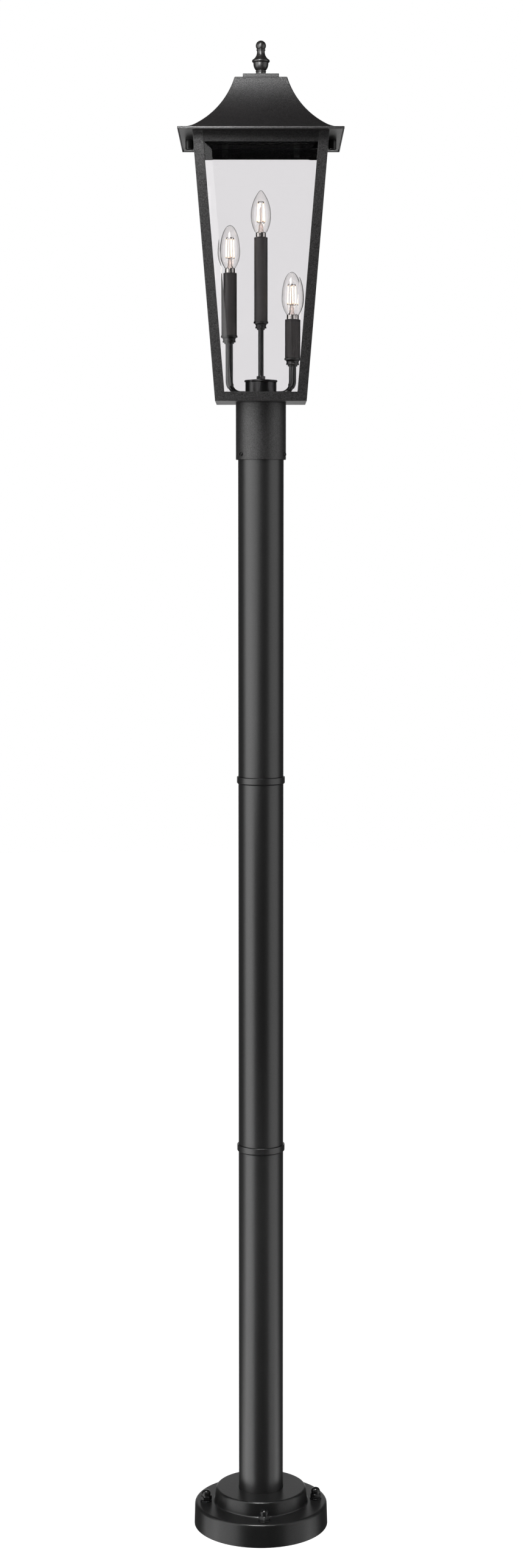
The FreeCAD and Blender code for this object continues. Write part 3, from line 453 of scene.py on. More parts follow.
def rays(tree):
    """Two signals: a ray seen straight or through panes alone, and a mirrored ray."""
    path = tree.nodes.new("ShaderNodeLightPath").outputs
    bounces = maths(tree, "ADD", path["Diffuse Depth"], path["Glossy Depth"])
    unbroken = maths(tree, "LESS_THAN", bounces, 0.5)
    through = maths(tree, "MULTIPLY", path["Is Transmission Ray"], unbroken)
    return maths(tree, "MAXIMUM", path["Is Camera Ray"], through), path["Is Glossy Ray"]


class Finish:
    """A material under way: its node tree, its shader and the object coordinates that patterns read."""

    def __init__(self, name):
        self.material = bpy.data.materials.new(name)
        self.material.use_nodes = True
        self.tree = self.material.node_tree
        self.shader = next(n for n in self.tree.nodes if n.type == "BSDF_PRINCIPLED")
        self.place = self.add("ShaderNodeTexCoord").outputs["Object"]

    def add(self, kind, **values):
        """A node with its properties and input values set by name."""
        node = self.tree.nodes.new(kind)
        for key, value in values.items():
            if hasattr(node, key):
                setattr(node, key, value)
            else:
                node.inputs[key].default_value = value
        return node

    def link(self, start, end):
        self.tree.links.new(start, end)

    def set(self, **values):
        """Sets the shader's own sockets; an underscore stands for a space."""
        for key, value in values.items():
            self.shader.inputs[key.replace("_", " ")].default_value = value

    def noise(self, scale, detail=2.0, roughness=0.5, stretch=None):
        """Noise over the object, with features of about 1 / scale metres."""
        place = self.place
        if stretch is not None:
            mapping = self.add("ShaderNodeMapping", Scale=stretch)
            self.link(place, mapping.inputs["Vector"])
            place = mapping.outputs["Vector"]
        node = self.add("ShaderNodeTexNoise", Scale=scale, Detail=detail, Roughness=roughness)
        self.link(place, node.inputs["Vector"])
        return node.outputs["Fac"]

    def between(self, value, lowest, highest, start=0.3, end=0.7):
        """Spreads a pattern between two plain numbers."""
        return ranged(self.tree, value, start, end, lowest, highest).outputs["Result"]

    def blend(self, value, first, second):
        """Colour that a pattern varies between two others."""
        mix = self.add("ShaderNodeMix", data_type="RGBA")
        sockets = [s for s in mix.inputs if s.type == "RGBA"]
        for socket, end in zip(sockets, (first, second)):
            socket.default_value = (*end, 1)
        self.link(value, mix.inputs["Factor"])
        return next(s for s in mix.outputs if s.type == "RGBA")

    def tint(self, value, colour_value, darkest, lightest):
        """Base colour that a pattern varies between two shares of one colour."""
        ends = [[c * part for c in colour_value] for part in (darkest, lightest)]
        self.link(self.blend(value, *ends), self.shader.inputs["Base Color"])

    def bump(self, height, strength, depth, under=None):
        """Bump of a given depth in metres, laid over another one where given."""
        node = self.add("ShaderNodeBump", Strength=strength, Distance=depth)
        self.link(height, node.inputs["Height"])
        if under is not None:
            self.link(under, node.inputs["Normal"])
        self.link(node.outputs["Normal"], self.shader.inputs["Normal"])
        return node.outputs["Normal"]


def powder_coat(name, colour_value, grain, grain_depth, roughest, smoothest, gloss, speckle=0.3):
    """Baked powder coat: fine grain, a faint orange peel, and a slow drift in roughness.

    The grain's size and depth are in metres; speckle is the share by which tone and gloss vary with it.
    """
    f = Finish(name)
    fine = f.noise(1 / grain, detail=2.0, roughness=0.6)
    fleck = f.noise(0.7 / grain, detail=3.0, roughness=0.8)
    slow = f.noise(9.0, detail=1.0)
    peel = f.noise(160.0, detail=1.0)
    f.tint(f.between(fine, 0.0, 1.0, 0.38, 0.66), colour_value, 1 - speckle, 1 + speckle)
    f.link(f.between(slow, smoothest, roughest), f.shader.inputs["Roughness"])
    f.bump(fine, 0.6, grain_depth, f.bump(peel, 0.25, 0.0002))
    f.link(f.between(fleck, gloss * (1 - 0.6 * speckle), gloss * (1 + 0.6 * speckle)),
           f.shader.inputs["Specular IOR Level"])
    return f.material


def matt_plastic(name, colour_value, roughest, smoothest, gloss=0.35):
    """Moulded plastic with a fine even grain."""
    f = Finish(name)
    fine = f.noise(1500.0, detail=2.0)
    f.tint(f.noise(70.0), colour_value, 0.88, 1.12)
    f.link(f.between(fine, smoothest, roughest), f.shader.inputs["Roughness"])
    f.bump(fine, 0.3, 0.00005)
    f.set(Specular_IOR_Level=gloss)
    return f.material


def plated_metal(name, colour_value):
    """Nickel plate with fine turning lines round the vertical axis."""
    f = Finish(name)
    lines = f.noise(1.0, detail=2.0, stretch=(40.0, 40.0, 6000.0))
    f.tint(f.noise(400.0), colour_value, 0.92, 1.05)
    f.link(f.between(lines, 0.14, 0.24), f.shader.inputs["Roughness"])
    f.bump(lines, 0.15, 0.00003)
    f.set(Metallic=1.0)
    return f.material


def clear_glass(name, tint_value, wave, wave_depth, bend=1.5):
    """Clear glass with the faint waves of a drawn sheet or a blown bulb; bend is its refractive index."""
    f = Finish(name)
    slow = f.noise(wave, detail=1.0)
    f.tint(f.noise(14.0, detail=3.0), tint_value, 0.985, 1.0)
    f.bump(slow, 0.2, wave_depth)
    f.set(Roughness=0.0, IOR=bend, Transmission_Weight=1.0)
    return f.material


def lit_filament(name, glow, brightness, bottom, top):
    """Glowing filament, white hot in the middle of its length and amber towards both ends."""
    f = Finish(name)
    split = f.add("ShaderNodeSeparateXYZ")
    f.link(f.place, split.inputs["Vector"])
    height = f.between(split.outputs["Z"], -1.0, 1.0, bottom, top)
    near_end = maths(f.tree, "POWER", maths(f.tree, "ABSOLUTE", height), 7.0)
    f.link(f.blend(near_end, HOTTEST, glow), f.shader.inputs["Emission Color"])
    f.set(Base_Color=(0.9, 0.7, 0.4, 1), Emission_Strength=brightness, Roughness=0.5)
    return f.material


MATERIALS = {}


def finish(name):
    """The named material of this object, made the first time it is asked for.

    A row gives the maker and its values: for a powder coat the colour, grain size, grain depth, roughest,
    smoothest, gloss and speckle.
    """
    look = bpy.context.scene.lamp_post_finish
    makers = {
        "satin_coat": (powder_coat, look.post_coat, 0.0011, 0.00004, 0.38, 0.36, 1.0, 0.15),
        "fitter_coat": (powder_coat, look.lantern_coat, 0.0011, 0.0003, 0.48, 0.44, 0.95, 0.8),
        "grained_coat": (powder_coat, look.lantern_coat, 0.0010, 0.0004, 0.4, 0.37, 0.84, 0.85),
        "bar_coat": (powder_coat, look.lantern_coat, 0.0015, 0.0006, 0.4, 0.37, 0.84, 1.0),
        # Top rails: the lantern coat darkened to 0.6 and made less glossy, as painted shade for the eave's
        # shadow on them.
        "rail_coat": (powder_coat, [0.6 * c for c in look.lantern_coat], 0.0015, 0.0006, 0.44, 0.4, 0.5, 1.0),
        "cast_coat": (powder_coat, look.post_coat, 0.0011, 0.00006, 0.34, 0.31, 0.48, 0.2),
        "hardware_coat": (powder_coat, look.post_coat, 0.0008, 0.00003, 0.3, 0.22, 0.4),
        "candle_coat": (powder_coat, look.candle_coat, 0.0008, 0.00003, 0.36, 0.3, 1.0),
        "finial_coat": (powder_coat, look.finial_coat, 0.003, 0.00004, 0.36, 0.3, 1.0),
        # Sleeves and holders: their own grey plus painted light for the light that the panes stop.
        "sleeve_coat": (matt_plastic, look.sleeve_coat, 0.5, 0.42, 0.6),
        "holder_plastic": (matt_plastic, look.sleeve_coat, 0.45, 0.35),
        "nickel": (plated_metal, look.nickel),
        "dark_wire": (plated_metal, (0.10, 0.08, 0.07)),
        "pane_glass": (clear_glass, look.pane_tint, 25.0, 0.00002),
        "stem_glass": (clear_glass, (0.98, 0.86, 0.80), 60.0, 0.00003, 1.25),
        "bulb_glass": (clear_glass, (1.0, 0.99, 0.985), 60.0, 0.00003, 1.45),
    }
    if name not in MATERIALS:
        maker, *values = makers[name]
        MATERIALS[name] = maker(name, *values)
    return MATERIALS[name]


class LAMP_POST_OT_post(bpy.types.Operator):
    """Three tubes and the two couplings between them"""

    bl_idname = "lamp_post.post"
    bl_label = "Post"

    def execute(self, context):
        size = context.scene.lamp_post_post
        outer = size.tube_diameter / 2
        inner = outer - size.tube_wall
        edge = size.edge_round
        for name in ("lower", "middle", "upper"):
            node = f"post_{name}"
            tube = walled(inner, outer, low(node), high(node), edge / 2, edge, edge, edge / 2)
            piece(f"tube_{name}", turned(tube, segments=160), finish("satin_coat"), [node])
        for name, below, above in (("lower", "lower", "middle"), ("upper", "middle", "upper")):
            node = f"coupling_{name}"
            bottom, top = high(f"post_{below}"), low(f"post_{above}")
            wide = span(node) / 2
            spigot = inner - FIT
            bore = spigot - size.coupling_wall
            shape = rounded([
                (bore, low(node), edge / 2), (spigot, low(node), edge), (spigot, bottom, 0),
                (wide - 1.6 * MM, bottom, 0.5 * MM), (wide, bottom + 1.7 * MM, 0.9 * MM),
                (wide, top - 0.5 * MM, 0.4 * MM), (wide - 0.6 * MM, top, 0.4 * MM),
                (spigot, top, 0), (spigot, high(node), edge), (bore, high(node), edge / 2),
            ])
            piece(f"ring_{name}", turned(shape, segments=160), finish("satin_coat"), [node])
        return {"FINISHED"}


def anchor_places(size):
    """Centres and angles of the four anchors, the front one first."""
    angles = [ANCHOR_TURN + k * math.pi / 2 for k in range(4)]
    radius = size.anchor_circle / 2
    return [(radius * math.sin(a), -radius * math.cos(a), a) for a in angles]


class LAMP_POST_OT_base(bpy.types.Operator):
    """Cast base with its hollow underside and the bosses round the anchor holes"""

    bl_idname = "lamp_post.base"
    bl_label = "Base"

    def execute(self, context):
        size = context.scene.lamp_post_post
        wall = size.casting_wall
        flange = low("anchor_washers")
        top = high("base_casting")
        foot, edge = size.skirt_diameter / 2, size.flange_diameter / 2
        broad, narrow = size.pedestal_foot / 2, size.pedestal_top / 2
        socket = size.tube_diameter / 2 + SOCKET_FIT
        under = flange - wall
        hub = socket + 5 * MM
        cable_hole = 28 * MM
        shape = rounded([
            (foot - wall, 0, 0.8 * MM), (foot, 0, 0.8 * MM), (edge, flange, size.flange_round),
            (broad, flange, 3.0 * MM), (narrow, top, size.pedestal_round), (socket, top, 0.6 * MM),
            (socket, flange, 0), (cable_hole, flange, 0.5 * MM), (cable_hole, under, 0.5 * MM),
            (hub, under, 1 * MM), (hub, top - wall, 2 * MM), (narrow - wall, top - wall, 2 * MM),
            (narrow - wall, under, 1.5 * MM), (foot - wall, under, 2 * MM),
        ], steps=6)
        boss_r, hole_r = size.boss_diameter / 2, size.anchor_hole / 2
        boss = walled(hole_r, boss_r, 0, under + 2 * MM, 0.8 * MM, 0.8 * MM, 0, 0)
        shapes = [turned(shape, segments=224)]
        shapes += [turned(boss, segments=48, at=(x, y, 0)) for x, y, _ in anchor_places(size)]
        piece("cast_base", joined(shapes), finish("cast_coat"), ["base_casting"])
        return {"FINISHED"}


class LAMP_POST_OT_anchor_nuts(bpy.types.Operator):
    """Washers and acorn nuts on the flange"""

    bl_idname = "lamp_post.anchor_nuts"
    bl_label = "Anchor nuts"

    def execute(self, context):
        size = context.scene.lamp_post_post
        places = anchor_places(size)
        bottom, seat = low("anchor_washers"), high("anchor_washers")
        washer = walled(5.35 * MM, 10 * MM, bottom, seat, 0.2 * MM, 0.4 * MM, 0.6 * MM, 0.2 * MM)
        piece("anchor_washer_set", joined([turned(washer, segments=48, at=(x, y, 0)) for x, y, _ in places]),
              finish("hardware_coat"), ["anchor_washers"])
        flats, corner = 17 * MM, 17 / math.sqrt(3) * MM
        hexagon, dome, crown = 8 * MM, 7.6 * MM, 6.2 * MM
        height = span("anchor_nuts", 2)
        thread, depth, chamfer = 5.05 * MM, 13 * MM, 0.2 * MM
        rising = np.linspace(0, math.pi / 2, 20)
        outline = np.concatenate([
            rounded([(0, depth), (thread, depth, 0.3 * MM), (thread, 0, 0.3 * MM), (flats / 2, 0, chamfer),
                     (corner, 0.8 * MM, chamfer), (corner, hexagon - 0.9 * MM, chamfer),
                     (flats / 2 * 0.97, hexagon, 0.3 * MM), (dome, hexagon, 0.4 * MM),
                     (dome, height - crown)], closed=False),
            np.column_stack([dome * np.cos(rising), height - crown + crown * np.sin(rising)])[1:-1],
            [(0, height)],
        ])
        nuts = [placed(hexagonal(outline, flats), about_z(a + k * 0.35), (x, y, seat))
                for k, (x, y, a) in enumerate(places)]
        piece("acorn_nut_set", joined(nuts), finish("hardware_coat"), ["anchor_nuts"])
        return {"FINISHED"}


def screw_head(radius, height, recess):
    """Pan head with a cross recess, seen along Z: the top is a low dome, sunk where |x| or |y| is small."""
    count = 64
    circle = ring(count)
    spread = np.concatenate([np.linspace(0, 0.72, 16)[1:], [0.8, 0.88, 0.94, 0.98, 1.0]])
    crown = height * (1 - 0.42 * spread ** 4)
    x = radius * spread[:, None] * circle[None, :, 0]
    y = radius * spread[:, None] * circle[None, :, 1]
    narrow = np.minimum(np.abs(x), np.abs(y)) / radius
    half_slot, slot_reach = 0.17, 0.66
    slot = np.clip((half_slot - narrow) / 0.05, 0, 1) * np.clip((slot_reach - spread[:, None]) / 0.06, 0, 1)
    z = crown[:, None] - recess * slot
    top = np.stack([x, y, z], -1)[::-1]
    side = np.stack([radius * circle[:, 0], radius * circle[:, 1], np.zeros(count)], -1)[None]
    low_centre = np.zeros((1, count, 3))
    high_centre = np.broadcast_to(np.array([0, 0, height - recess]), (1, count, 3))
    return wrapped(np.concatenate([low_centre, side, top, high_centre]))


class LAMP_POST_OT_fitter(bpy.types.Operator):
    """Sleeve that joins the lantern to the post, and its set screws"""

    bl_idname = "lamp_post.fitter"
    bl_label = "Fitter"

    def execute(self, context):
        size = context.scene.lamp_post_post
        node = "post_fitter"
        outer = span(node, 1) / 2
        inner = size.tube_diameter / 2 + FITTER_FIT
        roof = high("post_upper")
        hole = NIPPLE_HOLE
        shape = rounded([
            (inner, low(node), 0.5 * MM), (outer, low(node), 0.7 * MM), (outer, high(node), 0.5 * MM),
            (hole, high(node), 0.3 * MM), (hole, roof, 0.3 * MM), (inner, roof, 1 * MM),
        ])
        piece("fitter_sleeve", turned(shape, segments=160), finish("fitter_coat"), [node])
        level = middle("set_screws", 2)
        head = screw_head(3.3 * MM, 2.9 * MM, 1.3 * MM)
        thick, deep = 2.5 * MM, 3.5 * MM
        shank = rounded([(0, 0), (2.1 * MM, 0, 0.3 * MM), (thick, 0.8 * MM, 0.2 * MM),
                         (thick, deep), (0, deep)], closed=False)
        screw = joined([head, turned(shank, segments=32, at=(0, 0, -deep))])
        shapes = [placed(screw, outwards(a), (math.sin(a) * outer, -math.cos(a) * outer, level))
                  for a in SCREW_TURNS]
        piece("set_screw_heads", joined(shapes), finish("hardware_coat"), ["set_screws"])
        return {"FINISHED"}


def cage_half(size, z):
    """Half the cage's outer width at a level."""
    foot = low("corner_post_front_left")
    top = high("corner_post_front_left")
    return size.bottom_width / 2 + (size.top_width - size.bottom_width) / 2 * (z - foot) / (top - foot)


class LAMP_POST_OT_cage(bpy.types.Operator):
    """Corner angles and rails of the lantern's cage, with its floor plate and glass clips"""

    bl_idname = "lamp_post.cage"
    bl_label = "Cage"

    def execute(self, context):
        size = context.scene.lamp_post_lantern
        wide, thick, edge = size.bar_width, size.bar_thickness, size.bar_round
        section = rounded([
            (-wide, -thick, edge), (-thick, -thick, edge), (-thick, -wide, edge),
            (0, -wide, edge), (0, 0, 2 * edge), (-wide, 0, edge),
        ], steps=3)
        foot, top = low("corner_post_front_left"), high("corner_post_front_left")
        for k, corner in enumerate(CORNERS):
            ends = []
            for z in (foot, top):
                half = cage_half(size, z)
                ends.append(np.column_stack([section + half, np.full(len(section), z)]))
            shape = placed(bar(*ends), about_z((k - 1) * math.pi / 2))
            piece(f"angle_bar_{corner}", shape, finish("bar_coat"), [f"corner_post_{corner}"])
        for k, side in enumerate(SIDES):
            # The top rails take the darker coat, which is painted shade standing in for the eave's shadow; the
            # bottom rails keep the bar coat.
            for level, coat in (("bottom", "bar_coat"), ("top", "rail_coat")):
                node = f"{level}_rail_{side}"
                z0, z1 = low(node), high(node)
                loop = rounded([(0, z0, edge), (thick, z0, edge), (thick, z1, edge), (0, z1, edge)], steps=3)
                half = cage_half(size, loop[:, 1])
                reach = half - wide
                ends = [np.column_stack([way * reach, loop[:, 0] - half, loop[:, 1]]) for way in (1, -1)]
                shape = placed(bar(*ends), about_z(k * math.pi / 2))
                piece(f"{level}_bar_{side}", shape, finish(coat), [node])
        coat_nodes(finish("grained_coat"), "floor_plate", "glass_clips")
        return {"FINISHED"}


class LAMP_POST_OT_glass(bpy.types.Operator):
    """Bevelled panes: the CAD solids with a clear glass finish"""

    bl_idname = "lamp_post.glass"
    bl_label = "Glass"

    def execute(self, context):
        coat_nodes(finish("pane_glass"), *[f"glass_pane_{side}" for side in SIDES])
        return {"FINISHED"}


class LAMP_POST_OT_roof(bpy.types.Operator):
    """Flared roof with its lip, the eave plate, the studs and the cap plate"""

    bl_idname = "lamp_post.roof"
    bl_label = "Roof"

    def execute(self, context):
        size = context.scene.lamp_post_lantern
        node = "roof_shell"
        half, lip, top = span(node) / 2, low(node), high(node)
        sheet = size.roof_sheet
        brim = high("eave_plate") + ROOF_SEAT + sheet
        turn, near, far = size.flare_turn, size.lower_flare, size.upper_flare
        centre = np.array([half, brim + near])
        centre_far = centre + (far - near) * np.array([math.sin(turn), math.cos(turn)])

        def flare(depth):
            """Outline from brim to top, depth below the outer skin: two tangent arcs."""
            first, second = near + depth, far + depth
            start = math.asin(min(depth / first, 1))
            a = np.linspace(start, turn, 16)
            lower = centre - first * np.column_stack([np.sin(a), np.cos(a)])
            rise = (centre_far[1] - (top - depth)) / second
            b = np.linspace(turn, math.acos(rise), 40)[1:]
            upper = centre_far - second * np.column_stack([np.sin(b), np.cos(b)])
            return np.concatenate([lower, upper])

        outer, inner = flare(0.0), flare(sheet)[::-1]
        corner, tight = size.hip_round, size.hip_round * 0.5

        def widths(points, radius):
            return np.column_stack([points[:, 0], np.full(len(points), radius), points[:, 1]])

        lip_low = rounded([(half - sheet, brim), (half - sheet, lip, 0.5 * MM), (half, lip, 0.5 * MM),
                           (half, brim, 0.9 * MM), (half - 4 * MM, brim + 0.16 * MM)], closed=False)[1:-1]
        crown = rounded([tuple(outer[-3]), (outer[-1][0], top, 1.6 * MM), (8 * MM, top)], closed=False)[1:-1]
        hole = 3.5 * MM
        profile = np.concatenate([
            widths(lip_low, corner),
            widths(outer[3:-3], corner),
            widths(crown, corner),
            [(hole * 1.4, hole * 1.3, top), (hole, hole * 0.98, top - 0.2 * MM),
             (hole, hole * 0.98, top - sheet + 0.2 * MM), (hole * 1.4, hole * 1.3, top - sheet)],
            widths(inner, tight),
        ])
        piece("roof_skin", squared(profile), finish("grained_coat"), [node])
        coat_nodes(finish("grained_coat"), "eave_plate")
        coat_nodes(finish("hardware_coat"), "roof_studs", "finial_rod", "finial_nut")

        node = "cap_plate"
        half, z0, z1 = span(node) / 2, low(node), high(node)
        edge = size.cap_round
        side = walled(hole, half, z0, z1, 0, edge, edge, 0)
        radius = np.where(side[:, 0] > half / 2, 1.0 * MM, hole * 0.98)
        profile = np.column_stack([side[:, 0], radius, side[:, 1]])
        piece("roof_cap", squared(profile), finish("grained_coat"), [node])
        return {"FINISHED"}


class LAMP_POST_OT_thumb_nuts(bpy.types.Operator):
    """Round nuts below the eave that hold the roof down"""

    bl_idname = "lamp_post.thumb_nuts"
    bl_label = "Thumb nuts"

    def execute(self, context):
        for side in ("left", "right"):
            node = f"thumb_nut_{side}"
            outer, z0, z1 = span(node) / 2, low(node), high(node)
            bore, depth = 2.56 * MM, z1 - 14 * MM
            outline = rounded([
                (0, z0), (outer, z0, 3.6 * MM), (outer, z1, 0.5 * MM), (bore, z1, 0.2 * MM),
                (bore, depth, 0.2 * MM), (0, depth),
            ], steps=6, closed=False)
            piece(f"round_nut_{side}", turned(outline, segments=64, at=(middle(node), 0, 0)),
                  finish("hardware_coat"), [node])
        return {"FINISHED"}


class LAMP_POST_OT_finial(bpy.types.Operator):
    """Turned finial: foot, urn, ring, flared neck, bead and ball"""

    bl_idname = "lamp_post.finial"
    bl_label = "Finial"

    def execute(self, context):
        z0 = low("finial")
        ball, centre, neck = 8.4, 49.0, 6.3
        hole, depth = 3.1, 19.0
        start = centre - math.sqrt(ball ** 2 - neck ** 2)
        turn = np.linspace(math.asin((start - centre) / ball), math.pi / 2, 28)
        outline = np.concatenate([
            [(hole, depth), (hole, 0.3), (hole + 0.3, 0.0), (7.9, 0.0)],
            arc((8.15, 0.3), (8.05, 6.3), 0.02, 4),
            arc((7.9, 6.6), (7.9, 8.7), 0.75, 9),
            arc((7.85, 9.1), (12.35, 20.2), 1.2, 18),
            arc((12.45, 20.7), (12.95, 21.8), -0.2, 5)[1:],
            arc((13.1, 22.0), (12.9, 26.9), 1.65, 16),
            arc((12.5, 27.3), (6.5, 39.8), -1.8, 22),
            arc((6.5, 40.9), (6.45, 43.4), 1.0, 10),
            np.column_stack([ball * np.cos(turn), centre + ball * np.sin(turn)])[:-1],
        ]) * MM
        outline = np.concatenate([[(0, depth * MM)], outline, [(0, (centre + ball) * MM)]])
        piece("finial_turning", turned(outline, segments=96, at=(0, 0, z0)),
              finish("finial_coat"), ["finial"], sharp=50)
        return {"FINISHED"}


class LAMP_POST_OT_hub(bpy.types.Operator):
    """Hub on the lantern's floor: cup, lid and lock nuts"""

    bl_idname = "lamp_post.hub"
    bl_label = "Hub"

    def execute(self, context):
        coat = finish("candle_coat")
        outer, z0, z1 = span("hub_body") / 2, low("hub_body"), high("hub_body")
        wall, hole = 2 * MM, NIPPLE_HOLE
        inner = outer - wall
        cup = rounded([
            (hole, z0, 0.2 * MM), (outer, z0, 0.6 * MM), (outer, z1, 0.2 * MM), (inner, z1, 0.2 * MM),
            (inner, z0 + wall, 1 * MM), (hole, z0 + wall, 0.2 * MM),
        ])
        piece("hub_cup", turned(cup, segments=128), coat, ["hub_body"])
        wide, rim, crest = span("hub_lid") / 2, z1 + 3 * MM, high("hub_lid")
        lid = np.concatenate([
            rounded([(hole, z1, 0.2 * MM), (wide, z1, 1.4 * MM), (wide, rim + 0.4 * MM, 1.5 * MM),
                     (wide - 4 * MM, rim + 0.3 * MM)], closed=False, steps=7)[:-1],
            arc((wide - 3.2 * MM, rim + 0.35 * MM), (hole, crest), 0.3 * MM, 14),
        ])
        piece("hub_cover", turned(lid, segments=128), coat, ["hub_lid"])
        flats, corner, tall = 13.5 * MM, 13.5 / math.sqrt(3) * MM, 5 * MM
        nut = rounded([
            (hole, 0, 0.3 * MM), (flats / 2, 0, 0.2 * MM), (corner, 0.6 * MM, 0.1 * MM),
            (corner, 4.4 * MM, 0.1 * MM), (flats / 2, tall, 0.2 * MM), (hole, tall, 0.3 * MM),
        ])
        levels = (high("post_upper") - tall, z0 + wall, z1 - tall, crest)
        nuts = [placed(hexagonal(nut, flats), about_z(0.4 * k), (0, 0, z)) for k, z in enumerate(levels)]
        piece("lock_nut_set", joined(nuts), coat, ["hub_nuts"])
        coat_nodes(coat, "hub_nipple")
        return {"FINISHED"}


def arm_path(side, level, inner, offset, bend):
    """Path of an arm: level away from the hub, a quarter turn, then upright."""
    straight = offset - bend - inner
    quarter = bend * math.pi / 2

    def path(s):
        s = np.asarray(s, float)
        turn = np.clip((s - straight) / bend, 0, math.pi / 2)
        x = inner + np.minimum(s, straight) + bend * np.sin(turn)
        z = bend * (1 - np.cos(turn)) + np.maximum(s - straight - quarter, 0)
        zero = np.zeros_like(s)
        centre = np.column_stack([side * x, zero, level + z])
        across = np.column_stack([zero, zero + side, zero])
        up = np.column_stack([-side * np.sin(turn), zero, np.cos(turn)])
        return centre, across, up

    return path, straight, quarter


class LAMP_POST_OT_arms(bpy.types.Operator):
    """Stem and two bent arms that carry the candles"""

    bl_idname = "lamp_post.arms"
    bl_label = "Arms"

    def execute(self, context):
        size = context.scene.lamp_post_candles
        outer = size.tube_diameter / 2
        inner = outer - size.tube_wall
        coat = finish("candle_coat")
        edge = 0.2 * MM
        node = "stem_centre"
        stem = walled(inner, outer, low(node), high(node), edge, edge, edge, edge)
        piece("centre_tube", turned(stem, segments=48), coat, [node])
        for name, side in (("left", -1), ("right", 1)):
            node = f"arm_{name}"
            level = low(node) + outer
            offset = abs(middle(f"candle_sleeve_{name}"))
            near = min(abs(low(node, 0)), abs(high(node, 0)))
            path, straight, quarter = arm_path(side, level, near, offset, size.arm_bend)
            total = straight + quarter + high(node) - level - size.arm_bend
            count = 25
            bend = np.linspace(straight, straight + quarter, count)
            outline = np.concatenate([
                [(inner, 0), (outer - edge, 0), (outer, edge)],
                np.column_stack([np.full(count, outer), bend]),
                [(outer, total - edge), (outer - edge, total), (inner, total)],
                np.column_stack([np.full(count, inner), bend[::-1]]),
            ])
            piece(f"bent_tube_{name}", swept(outline, path, 40), coat, [node])
        return {"FINISHED"}


class LAMP_POST_OT_candles(bpy.types.Operator):
    """Candle cups, sleeves and lamp holders"""

    bl_idname = "lamp_post.candles"
    bl_label = "Candles"

    def execute(self, context):
        size = context.scene.lamp_post_candles
        bore = size.tube_diameter / 2 + FIT
        flange, waist, collar, nut = 12.15, 8.7, 9.3, 6.4
        cup = np.concatenate([
            rounded([(4.6, -13.9, 0.1), (nut, -13.9, 0.4), (nut, -11.5, 0.1), (collar, -11.5, 0.8),
                     (collar, -9.3, 0.8), (waist, -8.9, 0.2), (waist, -8.0)], closed=False)[:-1],
            arc((waist, -8.0), (11.3, -3.6), -0.95, 12),
            rounded([(11.3, -3.6), (flange, -3.3, 0.3), (flange, 0, 0.6), (4.6, 0, 0.1)],
                    closed=False, steps=6)[1:],
        ]) * MM
        cup[:, 0] = np.maximum(cup[:, 0], bore)
        for name in CANDLES:
            node = f"candle_sleeve_{name}"
            x, z0, z1 = middle(node), low(node), high(node)
            outer = span(node) / 2
            inner = outer - size.sleeve_wall
            sleeve = walled(inner, outer, z0, z1, 0.1 * MM, 0.3 * MM, 0.35 * MM, 0.35 * MM)
            piece(f"sleeve_{name}", turned(sleeve, segments=80, at=(x, 0, 0)), finish("sleeve_coat"), [node])

            piece(f"cup_{name}", turned(cup, segments=80, at=(x, 0, z0)), finish("candle_coat"),
                  [f"candle_cup_{name}"])

            node = f"lamp_holder_{name}"
            outer, low_z, high_z = span(node) / 2, low(node), high(node)
            socket = 5.96 * MM
            seat = high_z - 18.5 * MM
            stem = low_z + 11.1 * MM
            holder = rounded([
                (0, stem), (bore, stem, 0.2 * MM), (bore, low_z, 0.2 * MM), (outer, low_z, 0.8 * MM),
                (outer, high_z, 1.2 * MM), (socket, high_z, 0.6 * MM), (socket, seat, 0.3 * MM), (0, seat),
            ], closed=False)
            piece(f"holder_{name}", turned(holder, segments=64, at=(x, 0, 0)),
                  finish("holder_plastic"), [node])
        return {"FINISHED"}


def bulb_profile(collar, neck, belly, belly_height, height, tip, tip_rise):
    """Candle bulb: a small round at the collar, an arc up to the belly and a second arc up to the tip.

    Where tip is zero, the upper part is a quarter of an ellipse instead, which makes a blunt bulb.
    """
    step = 1.6 * MM

    def flank(start, end, centre_r, centre_z, radius, count):
        a = np.linspace(math.asin((start - centre_z) / radius), math.asin((end - centre_z) / radius), count)
        return np.column_stack([centre_r + radius * np.cos(a), centre_z + radius * np.sin(a)])

    rise = belly_height - step
    low_r = ((belly - neck) ** 2 + rise ** 2) / (belly - neck) / 2
    turn = np.linspace(0, math.pi / 2, 8)[:-1]
    foot = np.column_stack([collar + (neck - collar) * np.sin(turn), step * (1 - np.cos(turn))])
    lower = flank(step, belly_height, belly - low_r, belly_height, low_r, 22)
    if tip == 0:
        turn = np.linspace(0, math.pi / 2, 40)[1:]
        upper = np.column_stack([belly * np.cos(turn), belly_height + (height - belly_height) * np.sin(turn)])
        return np.concatenate([foot, lower, upper])
    shoulder = height - tip_rise
    high_r = ((belly - tip) ** 2 + (shoulder - belly_height) ** 2) / (belly - tip) / 2
    upper = flank(belly_height, shoulder, belly - high_r, belly_height, high_r, 34)[1:]
    cap_r = (tip ** 2 + tip_rise ** 2) / (2 * tip_rise)
    a = np.linspace(math.acos(min(tip / cap_r, 1)), math.pi / 2, 8)[1:]
    cap = np.column_stack([cap_r * np.cos(a), height - cap_r + cap_r * np.sin(a)])
    return np.concatenate([foot, lower, upper, cap])


